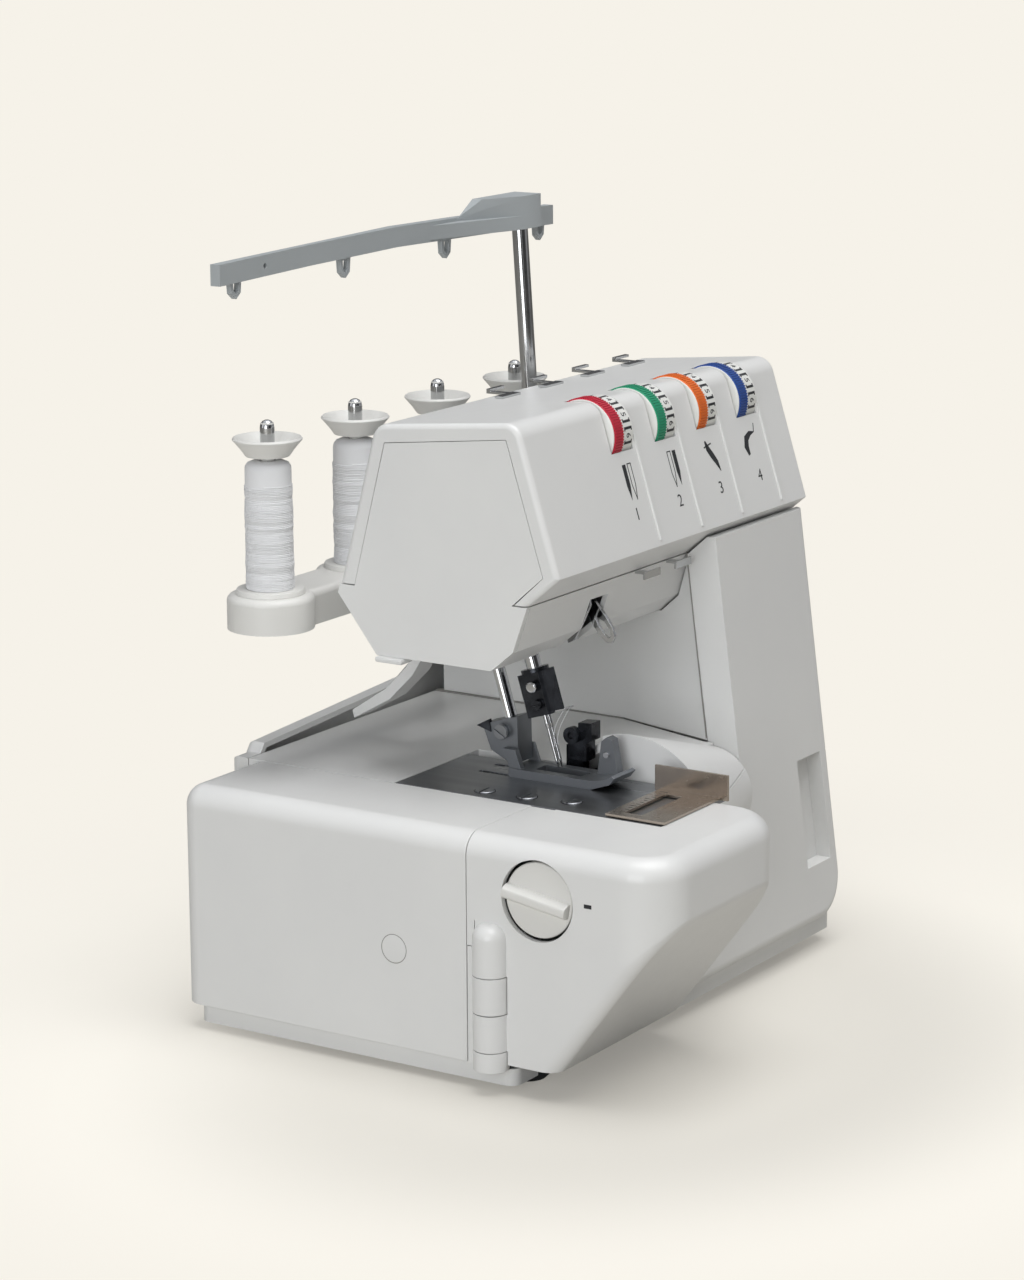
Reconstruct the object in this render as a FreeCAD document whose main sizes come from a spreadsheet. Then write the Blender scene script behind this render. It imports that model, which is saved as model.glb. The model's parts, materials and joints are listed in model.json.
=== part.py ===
"""Serger overlock machine: casing, cast frame, drive, needle, loopers, presser, thread path and controls.

Lengths are in millimetres. Inside the sketches X runs to the user's right from the tray's left face,
Y runs to the back from the tray's front edge, and Z runs up from the tray's underside. Every body is then
set down with the ORIGIN formulas, so that the machine stands on Z = 0 and is centred on X and Y.
"""
import FreeCAD, Part
import math
import os
import re

import Sketcher
from FreeCAD import Vector

SIZES = {
    # general
    "wall": 2.5,                    # moulded casing wall
    "seam": 0.5,                    # gap where two casings meet
    "fine_seam": 0.25,              # gap round the face cover
    "free_gap": 0.4,                # gap between parts that move past each other
    "run_gap": 0.05,                # radial gap of a running fit
    # tray and feet
    "tray_split": 100, "tray_right": "=body_right - 4", "tray_rear": 156, "tray_height": 7, "tray_step": 3,
    "tray_nose": 10,
    "foot_drop": 3, "foot_radius": 9, "foot_left": 22, "foot_right": 200, "foot_front": 8, "foot_rear": 140,
    # bed covers
    "left_face": -3, "bed_top": 101.5, "cover_foot": 8, "cover_seam": 20.5, "cover_rear": 162,
    "bed_round": 9, "cover_right": 45.6,
    "door_front": -69.5, "door_right": 95, "door_corner": 21, "door_lip": 75, "door_toe": -21,
    "door_base": 10, "door_round": 6,
    # hinge of the front door
    "hinge_y": 9, "hinge_radius": 7.25, "hinge_pin_radius": 2, "hinge_base": 7.4, "hinge_step_1": 15.6,
    "hinge_step_2": 30.9, "hinge_step_3": 46.2, "hinge_dome": 67, "leaf_top": 56,
    # stitch length knob
    "knob_radius": 15.2, "knob_y": -12.5, "knob_z": 79.3, "knob_disc": 3.2, "knob_grip": 3.2,
    "knob_grip_width": 6,
    "knob_shaft": 4, "knob_recess": 1.4, "knob_tilt": 9,
    # pillar and lower right casing
    "body_right": 250, "pillar_left": 171, "pillar_top": 190.5, "pillar_front": 8, "pillar_lean": 7.4,
    "pillar_depth": 14.5, "body_base": 10, "panel_front": 13, "panel_turn_x": 186.5, "panel_turn_y": 62,
    "panel_rear_x": 188, "side_corner": 20, "side_round": 5,
    "recess_left": "=body_right - 30", "recess_right": "=body_right - 9", "recess_base": 36,
    "recess_top": 84, "recess_depth": 7,
    # looper guard, the round hump right of the needle plate
    "guard_left": 102.5, "guard_y": 8, "guard_z": 81, "guard_radius": 39, "guard_taper": 16.4,
    "knife_room": 109,
    # rear casing
    "ledge_left": 58, "ledge_top": 105.5, "rear_face": 172, "back_face": 158,
    # head
    "head_left": 46, "head_right": "=body_right + 3", "head_top": 256, "head_front": 27, "face_lean": 17.3,
    "chin_z": 195,
    "head_back": 95.5, "head_back_z": 249.7, "ridge_y": 114.5, "ridge_z": 178.4, "under_back": 95.6,
    "under_z": 154.3, "under_front": 40, "bevel_y": 29.5, "bevel_z": 163, "seam_y": 22.7, "seam_z": 182.6,
    "head_round": 8, "head_edge": 2.5, "face_inset": 4.5,
    # tension dials
    "dial_first": 108, "dial_pitch": 34.5, "dial_width": 15.6, "dial_radius": 15.5,
    "dial_y": "=head_front + 8.1", "dial_z": "=head_top - 15",
    "dial_bore": 3, "dial_side_gap": 0.8, "disc_radius": 7.2,
    # needle plate
    "plate_left": 46, "plate_right": 100, "plate_front": -39, "plate_rear": 87, "plate_thick": 2,
    # needle drive
    "needle_x": 86.5, "needle_y": 34.5, "needle_z": 113, "bar_lean": 17, "needle_bar_radius": 3.25,
    "needle_bar_foot": 18, "needle_bar_top": 126, "clamp_foot": 16, "clamp_top": 34, "clamp_half": 6,
    "needle_tip": -7.5, "needle_radius": 0.7, "needle_shank": 1.0, "needle_spread": 1.3,
    # presser
    "presser_x": 88, "presser_y": 57.7, "presser_z": 124.2, "presser_radius": 3, "presser_top": 110,
    "collar_foot": 64, "collar_top": 72, "bore_reach": 160,
    "foot_left_x": 78, "foot_right_x": 95, "foot_thick": 3.7,
    "bush_wall": 2.2, "low_bush_foot": 47.5, "low_bush_top": 58, "high_bush_foot": 113,
    "high_bush_top": 124, "lifter_left": 93.5, "lifter_y": 95, "lifter_z": 165, "lifter_bore": 2.5,
    "take_up_left": 102.5, "take_up_y": 46, "take_up_z": 176, "take_up_bore": 2,
    # frame casting
    "frame_left": 6, "frame_right": "=body_right - 10", "frame_front": 1, "frame_rear": 150,
    "frame_floor": 15,
    "column_left": "=body_right - 58", "column_right": "=column_left + 7", "rod_left": "=body_right - 34",
    "arm_left": 78, "arm_end": 97,
    # drive in the base
    "shaft_y": 92, "shaft_z": 70, "shaft_radius": 6, "shaft_left": 56, "wheel_left": "=body_right + 2",
    "wheel_right": "=wheel_left + 16",
    "wheel_radius": 42, "pulley_left": "=body_right - 28", "pulley_width": 8, "pulley_radius": 27,
    "belt_thick": 2,
    "motor_y": 130, "motor_z": 46, "motor_radius": 24, "motor_left": "=motor_right - 65.5",
    "motor_right": "=column_left - 0.5",
    "motor_pulley_radius": 8,
    "rocker_y": 88, "rocker_z": 180, "rocker_radius": 4, "rocker_arm": 24,
    # loopers and knife
    "lower_looper_x": 70, "lower_looper_z": 48, "upper_looper_x": 112, "upper_looper_z": 46,
    "looper_radius": 4,
    # spool stand and thread guides
    "stand_first": 31, "stand_pitch": 62, "stand_y": 137.6, "stand_radius": 18, "stand_top": 178.5,
    "stand_thick": 14.5, "pad_radius": 14.5, "pad_thick": 2, "pin_radius": 2.7, "pin_top": 249,
    "spool_radius": 9.5, "spool_height": 53, "spool_bore": 3.3, "spool_core": 5.7, "cap_radius": 14.5,
    "cap_height": 8, "cap_lift": 1.6, "mast_x": 206.1, "mast_y": 122.8, "mast_z": 239.8, "mast_lean": 3.8,
    "mast_radius": 3.5,
    "mast_foot": -100, "mast_top": 78, "sleeve_wall": 1.2, "sleeve_foot": -144, "sleeve_top": -64,
    "bar_left": -2, "bar_right": 245, "bar_y": 137, "bar_z": 308.2, "bar_height": 8.6, "bar_thick": 4.7,
    "hook_first": 10, "hook_pitch": 75.3,
    # power switch and mains inlet
    "socket_y": 120.5, "socket_z": 24.5, "socket_wide": 27, "socket_high": 18, "rocker_pin": 1.2,
}

HINGE_X = "left_face"
ORIGIN_X = "((left_face - hinge_radius + wheel_right) / 2)"
ORIGIN_Y = "((door_front + rear_face) / 2)"
ORIGIN_Z = "(-foot_drop)"
CHIN_Y = "(head_front - (head_top - chin_z) * tan(face_lean))"
BACK_SLOPE = "((ridge_y - head_back) / (head_back_z - ridge_z))"
PLATE_BASE = "(bed_top - plate_thick)"
NEEDLE = ("needle_x", "needle_y", "needle_z")
PRESSER = ("presser_x", "presser_y", "presser_z")
BEVEL_SLOPE = "((ridge_y - under_back) / (ridge_z - under_z))"
BACK_TOP = "(stand_top - stand_thick)"
BACK_FRONT = f"(under_back + 2 * seam + ({BACK_TOP} - under_z) * {BEVEL_SLOPE})"
DIALS = ("red", "green", "orange", "blue")

doc = FreeCAD.newDocument("serger")
dims = doc.addObject("Spreadsheet::Sheet", "Dims")
for row, (alias, size) in enumerate(SIZES.items(), start=1):
    dims.set(f"A{row}", alias.replace("_", " "))
    dims.set(f"B{row}", str(size))
    dims.setAlias(f"B{row}", alias)
doc.recompute()

subparts = []
cuts = []


def bound(formula):
    """Spell a formula's size names as cells of the sheet."""
    return re.sub(r"[a-z][a-z_0-9]*", lambda m: "Dims." + m[0] if m[0] in SIZES else m[0], str(formula))


def tie(thing, path, formula):
    thing.setExpression(path, bound(formula))


def size(alias):
    return float(dims.get(alias))


def keep(thing, label):
    """Name a finished sub-part; its label is its node and file name."""
    thing.Label = label
    subparts.append(thing)
    return thing


def set_down(thing, x="0", y="0", z="0", axis=None, angle="0"):
    """Place a body whose own zero is at (x, y, z), turned about axis by angle."""
    if axis:
        thing.Placement = FreeCAD.Placement(Vector(), FreeCAD.Rotation(Vector(*axis), 1))
        tie(thing, "Placement.Rotation.Angle", angle)
    tie(thing, "Placement.Base.x", f"({x}) - {ORIGIN_X}")
    tie(thing, "Placement.Base.y", f"({y}) - {ORIGIN_Y}")
    tie(thing, "Placement.Base.z", f"({z}) - {ORIGIN_Z}")
    return thing


def new_body(label, **place):
    body = doc.addObject("PartDesign::Body", "Body")
    return keep(set_down(body, **place), label)


def sketch_on(body, plane, start):
    """A sketch on one of the body's own planes, moved by start along the positive axis it faces."""
    sketch = body.newObject("Sketcher::SketchObject", "Sketch")
    role = next(item for item in body.Origin.OriginFeatures if item.Role == plane + "_Plane")
    sketch.AttachmentSupport = [(role, "")]
    sketch.MapMode = "FlatFace"
    tie(sketch, "AttachmentOffset.Base.z", f"-({start})" if plane == "XZ" else start)
    return sketch


def hold(sketch, geometry, vertex, u, v):
    """Fix one sketch point by two bound distances from the sketch's origin."""
    for kind, formula in (("DistanceX", u), ("DistanceY", v)):
        number = sketch.addConstraint(Sketcher.Constraint(kind, -1, 1, geometry, vertex, 1.0))
        tie(sketch, f"Constraints[{number}]", formula)


def draw_outline(sketch, corners):
    """A closed outline; each corner is a pair of formulas."""
    count = len(corners)
    first = sketch.GeometryCount
    ring = [Vector(50 * math.cos(2 * math.pi * k / count), 50 * math.sin(2 * math.pi * k / count), 0)
            for k in range(count)]
    for k in range(count):
        sketch.addGeometry(Part.LineSegment(ring[k], ring[(k + 1) % count]))
    for k in range(count):
        sketch.addConstraint(Sketcher.Constraint("Coincident", first + k, 2, first + (k + 1) % count, 1))
    for k, (u, v) in enumerate(corners):
        hold(sketch, first + k, 1, u, v)


def draw_circle(sketch, u, v, radius):
    number = sketch.addGeometry(Part.Circle(Vector(0, 0, 0), Vector(0, 0, 1), 5))
    hold(sketch, number, 3, u, v)
    ring = sketch.addConstraint(Sketcher.Constraint("Radius", number, 5.0))
    tie(sketch, f"Constraints[{ring}]", radius)


def push(body, plane, start, end, shapes, cut=False):
    """Pad or pocket from start to end along the plane's axis; shapes are outlines or (u, v, radius)."""
    sketch = sketch_on(body, plane, start)
    for shape in shapes:
        if isinstance(shape, tuple):
            draw_circle(sketch, *shape)
        else:
            draw_outline(sketch, shape)
    feature = body.newObject("PartDesign::Pocket" if cut else "PartDesign::Pad", "Cut" if cut else "Pad")
    feature.Profile = sketch
    feature.Reversed = (plane == "XZ") != cut
    tie(feature, "Length", f"({end}) - ({start})")
    if cut:
        cuts.append(feature)
    return feature


def pad(body, plane, start, end, *shapes):
    return push(body, plane, start, end, shapes)


def pocket(body, plane, start, end, *shapes):
    return push(body, plane, start, end, shapes, cut=True)


def cone(body, start, end, u, v, radius, taper, cut=False):
    """A round pad or pocket along X that narrows by the taper angle."""
    feature = push(body, "YZ", start, end, [(u, v, radius)], cut)
    tie(feature, "TaperAngle", f"-({taper})")
    return feature


def rectangle(u1, v1, u2, v2):
    return [(u1, v1), (u2, v1), (u2, v2), (u1, v2)]


def block(body, x1, y1, z1, x2, y2, z2, cut=False):
    """A box between two corners, added to or taken from the body."""
    return push(body, "XY", z1, z2, [rectangle(x1, y1, x2, y2)], cut)


def turn(body, corners):
    """Revolve an outline of (radius, height) pairs about the body's own Z axis."""
    sketch = sketch_on(body, "XZ", "0")
    draw_outline(sketch, corners)
    feature = body.newObject("PartDesign::Revolution", "Turned")
    feature.Profile = sketch
    feature.ReferenceAxis = (sketch, ["V_Axis"])
    feature.Angle = 360
    return feature


def dress(body, kind, radius, wanted):
    """Fillet or chamfer the edges of the body's tip for which wanted(edge middle, direction) holds."""
    doc.recompute()
    tip = body.Tip
    names = []
    for number, edge in enumerate(tip.Shape.Edges, start=1):
        middle = edge.valueAt((edge.FirstParameter + edge.LastParameter) / 2)
        along = edge.tangentAt((edge.FirstParameter + edge.LastParameter) / 2)
        if wanted(middle, along):
            names.append(f"Edge{number}")
    if not names:
        raise RuntimeError(f"{body.Label}: no edge to dress")
    feature = body.newObject("PartDesign::" + kind, kind)
    feature.Base = (tip, names)
    tie(feature, "Radius" if kind == "Fillet" else "Size", radius)
    return feature


def hollow(body, thickness, open_side):
    """Leave a wall of the given thickness inside the body; faces for which open_side holds stay open."""
    doc.recompute()
    tip = body.Tip
    names = []
    for number, face in enumerate(tip.Shape.Faces, start=1):
        if face.Surface.TypeId == "Part::GeomPlane":
            low_u, high_u, low_v, high_v = face.ParameterRange
            if open_side(face.CenterOfMass, face.normalAt((low_u + high_u) / 2, (low_v + high_v) / 2)):
                names.append(f"Face{number}")
    feature = body.newObject("PartDesign::Thickness", "Hollow")
    feature.Base = (tip, names)
    feature.Reversed = True
    feature.Join = 1
    tie(feature, "Value", thickness)
    return feature


def dial_start(number):
    return f"(dial_first + {number} * dial_pitch)"


def near(a, b, slack=0.05):
    return abs(a - b) < slack


def group(label, members):
    """One node of several separate like solids."""
    for member in members:
        subparts.remove(member)
    node = doc.addObject("Part::Compound", "Group")
    node.Links = members
    return keep(node, label)


# ---------------------------------------------------------------- tray, feet and covers of the bed

def base_tray():
    body = new_body("base_tray")
    block(body, "0", "0", "0", "tray_split", "tray_rear", "tray_height")
    block(body, "tray_split - 1", "-tray_nose", "tray_step", "tray_right", "tray_rear", "body_base")
    dress(body, "Fillet", "tray_nose / 2", lambda m, t: near(abs(t.z), 1)
          and (m.x < 1 or m.x > size("tray_right") - 1))
    block(body, "wall", "wall", "wall", "tray_split - wall", "tray_rear - wall", "tray_height", cut=True)
    block(body, "tray_split + wall", "wall - tray_nose", "tray_step + wall", "tray_right - wall",
          "tray_rear - wall", "body_base", cut=True)
    holes = [(x, y, "foot_radius + free_gap") for x in ("foot_left", "foot_right")
             for y in ("foot_front", "foot_rear")]
    pocket(body, "XY", "-1", "body_base", *holes)
    return body


def rubber_feet():
    feet = []
    for x in ("foot_left", "foot_right"):
        for y in ("foot_front", "foot_rear"):
            foot = new_body("foot", x=x, y=y, z="-foot_drop")
            turn(foot, [("0", "0"), ("foot_radius - 1.5", "0"), ("foot_radius", "1.5"),
                        ("foot_radius", "foot_drop + body_base"), ("0", "foot_drop + body_base")])
            feet.append(foot)
    return group("rubber_feet", feet)


def side_cover():
    body = new_body("side_cover")
    block(body, "left_face", "cover_seam", "cover_foot", "cover_right", "cover_rear", "bed_top")
    low_x, high_y, high_z = size("left_face"), size("cover_rear"), size("bed_top")
    dress(body, "Fillet", "bed_round", lambda m, t: (near(m.x, low_x) and near(m.z, high_z))
          or (near(m.x, low_x) and near(m.y, high_y)) or (near(m.y, high_y) and near(m.z, high_z)))
    hollow(body, "wall", lambda c, n: n.x > 0.9 or n.z < -0.9 or n.y < -0.9)
    return body


def front_door():
    body = new_body("front_door")
    rear = "cover_seam - seam"
    block(body, "left_face", "door_front", "door_base", "door_right", rear, "bed_top")
    front = size("door_front")
    dress(body, "Fillet", "door_corner", lambda m, t: near(abs(t.z), 1) and near(m.y, front))
    pocket(body, "YZ", "left_face - 1", "door_right + 1",
           [("door_front - 1", "door_base - 1"), ("door_toe", "door_base - 1"), ("door_toe", "door_base"),
            ("door_front", "door_lip"), ("door_front - 1", "door_lip")])
    top, back = size("bed_top"), size("cover_seam")
    dress(body, "Fillet", "bed_round", lambda m, t: near(m.z, top) and m.y < back - 1)
    dress(body, "Fillet", "door_round",
          lambda m, t: abs(t.y) > 0.3 and abs(t.z) > 0.3 and m.z < size("door_lip"))
    hollow(body, "wall", lambda c, n: n.y > 0.9 or n.z < -0.9)
    # the top leaves room for the needle plate
    block(body, "plate_left - seam", "plate_front - seam", "bed_top - wall - 1", "door_right + 1",
          rear + " + 1", "bed_top + 1", cut=True)
    # the corner beside the needle plate is cleared for the swing about the hinge
    block(body, "plate_left - 3 * seam", "hinge_y", "bed_top - wall - 1", "plate_left", rear + " + 1",
          "bed_top + 1", cut=True)
    # opening for the hinge barrel and leaf, and the round hole for the knob
    block(body, "left_face - 1", "hinge_y - hinge_radius - free_gap", "door_base - 1",
          "left_face + wall + 1", rear + " + 1", "leaf_top + free_gap", cut=True)
    block(body, "left_face - 1", "hinge_y - hinge_radius - free_gap", "leaf_top", "left_face + wall + 1",
          "hinge_y + hinge_radius + free_gap", "hinge_dome", cut=True)
    pocket(body, "YZ", "left_face - 1", "left_face + wall + 1",
           ("knob_y", "knob_z", "knob_radius + 3 * free_gap"))
    # the right wall steps over the frame's floor
    block(body, "door_right - wall - 1", "frame_front - 2 * free_gap", "door_base - 1", "door_right + 1",
          rear + " + 1", "frame_floor + 2 * free_gap", cut=True)
    # two barrels with webs to the wall
    for low, high in (("hinge_step_1 + free_gap / 2", "hinge_step_2 - free_gap / 2"),
                      ("hinge_step_3 + free_gap / 2", "hinge_dome")):
        block(body, "left_face", "hinge_y - hinge_radius - 1", low, "left_face + wall", "hinge_y", high)
        pad(body, "XY", low, high, (HINGE_X, "hinge_y", "hinge_radius"))
    dome = size("hinge_dome")
    dress(body, "Fillet", "hinge_radius - 1.5",
          lambda m, t: near(m.z, dome) and m.x < size("left_face") - 3)
    pocket(body, "XY", "door_base - 1", "hinge_dome - hinge_radius",
           (HINGE_X, "hinge_y", "hinge_pin_radius + run_gap"))
    return body


def door_hinge_leaf():
    body = new_body("door_hinge_leaf")
    block(body, "left_face + wall + seam", "cover_seam - seam - 3", "frame_floor", "plate_left + 1",
          "cover_seam - seam", "leaf_top - 4")
    block(body, "left_face", "hinge_y + hinge_radius - 1", "hinge_base", "left_face + wall + seam",
          "cover_seam - seam", "leaf_top")
    for low, high in (("hinge_base", "hinge_step_1 - free_gap / 2"), ("hinge_step_2 + free_gap / 2",
                                                                    "hinge_step_3 - free_gap / 2")):
        pad(body, "XY", low, high, (HINGE_X, "hinge_y", "hinge_radius"))
        block(body, "left_face", "hinge_y", low, "left_face + wall", "hinge_y + hinge_radius", high)
    for low, high in (("hinge_step_1 - free_gap / 2", "hinge_step_2 + free_gap / 2"),
                      ("hinge_step_3 - free_gap / 2", "leaf_top + 1")):
        pocket(body, "XY", low, high, (HINGE_X, "hinge_y", "hinge_radius + free_gap"))
    pad(body, "XY", "hinge_base", "hinge_dome - hinge_radius - 1", (HINGE_X, "hinge_y", "hinge_pin_radius"))
    return body


def stitch_length_knob():
    """Disc set into the door's hole, with a tilted grip bar, on its shaft."""
    body = new_body("stitch_length_knob", x="left_face + knob_recess", y="knob_y", z="knob_z",
                    axis=(1, 0, 0), angle="knob_tilt")
    pad(body, "YZ", "0", "knob_disc", ("0", "0", "knob_radius"))
    half = "knob_grip_width / 2"
    pad(body, "YZ", "-knob_grip - knob_recess", "0.01",
        rectangle("1 - knob_radius", f"-{half}", "knob_radius - 0.4", half))
    pad(body, "YZ", "knob_disc - 0.01", "plate_left - left_face + 3", ("0", "0", "knob_shaft"))
    return body


# ---------------------------------------------------------------- bed, pillar and rear casings

def bed_cover():
    """Fixed bed top behind and right of the needle plate, with the looper guard's upper half."""
    body = new_body("bed_cover")
    back, low = "cover_rear", "bed_top - 9"
    left, edge, right = "plate_left", "plate_rear + seam", "panel_turn_x - seam"
    block(body, left, edge, low, right, back, "bed_top")
    block(body, "knife_room", "guard_y", low, right, "plate_rear + 1", "bed_top")
    cone(body, "guard_left", "pillar_left - seam", "guard_y", "guard_z", "guard_radius", "guard_taper")
    # everything under the bed's skirt and inside the guard is open
    block(body, f"{left} + wall", f"{edge} + wall", f"{low} - 1", f"{right} - wall", f"{back} - wall",
          "bed_top - wall", cut=True)
    block(body, "knife_room + wall", "guard_y", f"{low} - 1", f"{right} - wall", f"{edge} + wall + 1",
          "bed_top - wall", cut=True)
    cone(body, "guard_left + wall", "pillar_left - seam - wall", "guard_y", "guard_z",
         "guard_radius - 1.7 * wall", "guard_taper", cut=True)
    block(body, "guard_left - 1", "guard_y - guard_radius - 1", "guard_z - guard_radius - 1", "pillar_left",
          "guard_y + guard_radius + 1", low, cut=True)
    # room for the knife behind the guard's open end, and for the upper looper's point
    block(body, "guard_left - 1", "22", f"{low} - 1", "knife_room", "guard_y + guard_radius + 1",
          "guard_z + guard_radius", cut=True)
    block(body, "guard_left - 1", "14", f"{low} - 1", "guard_left + wall + 1", "23", "bed_top + 1",
          cut=True)
    # the right end follows the pillar's side panel and front cover
    pocket(body, "XY", f"{low} - 1", "guard_z + guard_radius + 1",
           [("pillar_left - seam", "panel_front"), ("pillar_left - seam", "guard_y - 1"),
            ("pillar_left + 20", "guard_y - 1"), ("pillar_left + 20", "panel_turn_y"),
            (right, "panel_turn_y")])
    return body


def pillar_front_cover():
    """Front skin of the pillar and of the lower right body, with the finger recess."""
    body = new_body("pillar_front_cover")
    lean = "tan(pillar_lean)"

    def face(z):
        return f"pillar_front - (pillar_top - ({z})) * {lean}"

    low_top, low_left = "bed_top - 9 - seam", "door_right + 3 * seam"
    pad(body, "YZ", "pillar_left", "body_right",
        [(face("body_base"), "body_base"), (face("body_base") + " + pillar_depth", "body_base"),
         (face("seam_z") + " + pillar_depth", "seam_z - seam"), (face("pillar_top") + " + 4", "pillar_top"),
         (face("pillar_top"), "pillar_top")])
    pad(body, "YZ", low_left, "pillar_left + 1",
        [(face("body_base"), "body_base"), (face("body_base") + " + pillar_depth", "body_base"),
         (face(low_top) + " + pillar_depth", low_top), (face(low_top), low_top)])
    # lower half of the looper guard
    cone(body, "guard_left", "pillar_left", "guard_y", "guard_z", "guard_radius", "guard_taper")
    block(body, "guard_left - 1", "guard_y - guard_radius - 1", low_top, "pillar_left",
          "guard_y + guard_radius + 1", "guard_z + guard_radius + 1", cut=True)
    block(body, "guard_left - 1", face(low_top) + " + pillar_depth", "guard_z - guard_radius - 1",
          "pillar_left", "guard_y + guard_radius + 1", low_top + " + 1", cut=True)
    right, base = size("body_right"), size("body_base")
    dress(body, "Fillet", "side_corner",
          lambda m, t: near(m.x, right) and near(m.z, base) and abs(t.y) > 0.9)
    for start, end, low, high in (("pillar_left + wall", "body_right - side_corner", "body_base + wall",
                                   "seam_z - 2 * wall"),
                                  ("body_right - side_corner - 1", "body_right - wall",
                                   "body_base + side_corner - wall", "seam_z - 2 * wall"),
                                  (low_left + " + wall", "pillar_left + wall + 1", "body_base + wall",
                                   low_top + " - wall")):
        pocket(body, "YZ", start, end,
               [(face(low) + " + wall", low), (face(low) + " + pillar_depth + 1", low),
                (face(high) + " + pillar_depth + 1", high), (face(high) + " + wall", high)])
    cone(body, "guard_left + wall", "pillar_left - wall", "guard_y", "guard_z", "guard_radius - 1.7 * wall",
         "guard_taper", cut=True)
    slope = math.tan(math.radians(size("pillar_lean")))
    dress(body, "Fillet", "side_round", lambda m, t: near(m.x, right) and m.z > base + 20 and abs(t.z) > 0.9
          and m.y < size("pillar_front") - (size("pillar_top") - m.z) * slope + 1)
    low, high = "recess_base - wall", "recess_top + wall"
    pad(body, "YZ", "recess_left - wall", "recess_right + wall",
        [(face(low), low), (face(low) + " + recess_depth + wall", low),
         (face(high) + " + recess_depth + wall", high), (face(high), high)])
    low, high = "recess_base", "recess_top"
    pocket(body, "YZ", "recess_left", "recess_right",
           [(face(low) + " - 3", low), (face(low) + " + recess_depth", low),
            (face(high) + " + recess_depth", high), (face(high) + " - 3", high)])
    return body


def pillar_side_panel():
    """Bright angled wall at the pillar's left, then straight to the back."""
    body = new_body("pillar_side_panel")
    front = "pillar_front - (pillar_top - bed_top) * tan(pillar_lean) + pillar_depth + seam"
    pad(body, "XY", "bed_top + seam", "seam_z - 4",
        [("pillar_left", front), ("panel_turn_x", "panel_turn_y"), ("panel_rear_x", "back_face"),
         ("panel_rear_x + wall", "back_face"), ("panel_turn_x + wall", "panel_turn_y"),
         ("pillar_left + wall", front)])
    # behind the leaning front cover, and clear of the head's underside and of the bevel behind it
    high = "seam_z"
    leaning = f"{front} + ({high} - bed_top) * tan(pillar_lean)"
    pocket(body, "YZ", "pillar_left - 1", "panel_rear_x + wall + 1",
           [("0", "bed_top"), (front, "bed_top"), (leaning, high), ("0", high)])
    top = BACK_TOP + " - wall"
    pocket(body, "YZ", "pillar_left - 1", "panel_rear_x + wall + 1",
           [("under_front - seam", "under_z - seam"), ("under_back + seam", "under_z - seam"),
            (f"under_back + seam + ({top} - under_z) * {BEVEL_SLOPE}", top), ("back_face + 1", top),
            ("back_face + 1", high), ("seam_y - seam", high), ("bevel_y - seam", "bevel_z - seam")])
    return body


def rear_casing():
    """Rear wall with the ledge behind the bed and the pillar's back."""
    body = new_body("rear_casing")
    pad(body, "XZ", "cover_rear + seam", "rear_face",
        [("cover_right + seam", "cover_foot"), ("body_right", "cover_foot"),
         ("body_right", BACK_TOP + " - 30"),
         ("panel_rear_x + 14", "ledge_top + 22"), ("panel_rear_x - 20", "ledge_top + 6"),
         ("ledge_left", "ledge_top"), ("ledge_left - 3", "bed_top"), ("cover_right + seam", "bed_top")])
    rear = size("rear_face")
    hollow(body, "wall", lambda c, n: n.y < -0.9)
    dress(body, "Fillet", "bed_round / 2",
          lambda m, t: near(m.y, rear) and not near(m.z, size("cover_foot")))
    back = "back_face"
    left, right = "panel_rear_x + wall + seam", "body_right - wall - seam"
    block(body, left, back + " - wall", "bed_top", right, back, BACK_TOP)
    block(body, left, BACK_FRONT, BACK_TOP + " - wall", right, back, BACK_TOP)
    pocket(body, "XY", BACK_TOP + " - wall - 1", BACK_TOP + " + 1",
           ("mast_x", f"mast_y - (mast_z - {BACK_TOP}) * tan(mast_lean)",
            "mast_radius + sleeve_wall + 2 * free_gap"))
    block(body, "panel_rear_x + 17", back + " - wall", "ledge_top + 15", "body_right - side_round",
          "rear_face - 1", "ledge_top + 15 + wall")
    return body


def right_side_cover():
    """Right wall with the shaft's opening, vents, power inlet cut-out and switch cut-out."""
    body = new_body("right_side_cover")
    lean = "tan(pillar_lean)"
    rear_low = "cover_rear"
    front_low = f"pillar_front - (pillar_top - body_base) * {lean} + pillar_depth + seam"
    front_high = f"pillar_front - (pillar_top - seam_z) * {lean} + pillar_depth + seam"
    back = f"ridge_y - (seam_z - ridge_z) * {BACK_SLOPE}"
    pad(body, "YZ", "body_right - wall", "body_right",
        [(front_low, "body_base"), (rear_low, "body_base"), (rear_low, BACK_TOP + " - 32"),
         ("back_face", BACK_TOP),
         (BACK_FRONT, BACK_TOP), ("ridge_y", "ridge_z"), (back, "seam_z - seam"),
         (front_high, "seam_z - seam")])
    pocket(body, "YZ", "body_right - wall - 1", "body_right + 1",
           ("shaft_y", "shaft_z", "shaft_radius + 2"))
    block(body, "body_right - wall - 1", "socket_y - seam", "socket_z - seam", "body_right + 1",
          "socket_y + socket_wide + seam", "socket_z + socket_high + seam", cut=True)
    for step in range(6):
        low = f"120 + {step} * 5"
        block(body, "body_right - wall - 1", "60", low, "body_right + 1", "110", f"{low} + 2", cut=True)
    return body


# ---------------------------------------------------------------- head casings

HEAD_FRONT = [("seam_y", "seam_z"), (CHIN_Y, "chin_z"), ("head_front", "head_top"),
              ("head_back", "head_back_z")]


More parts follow.
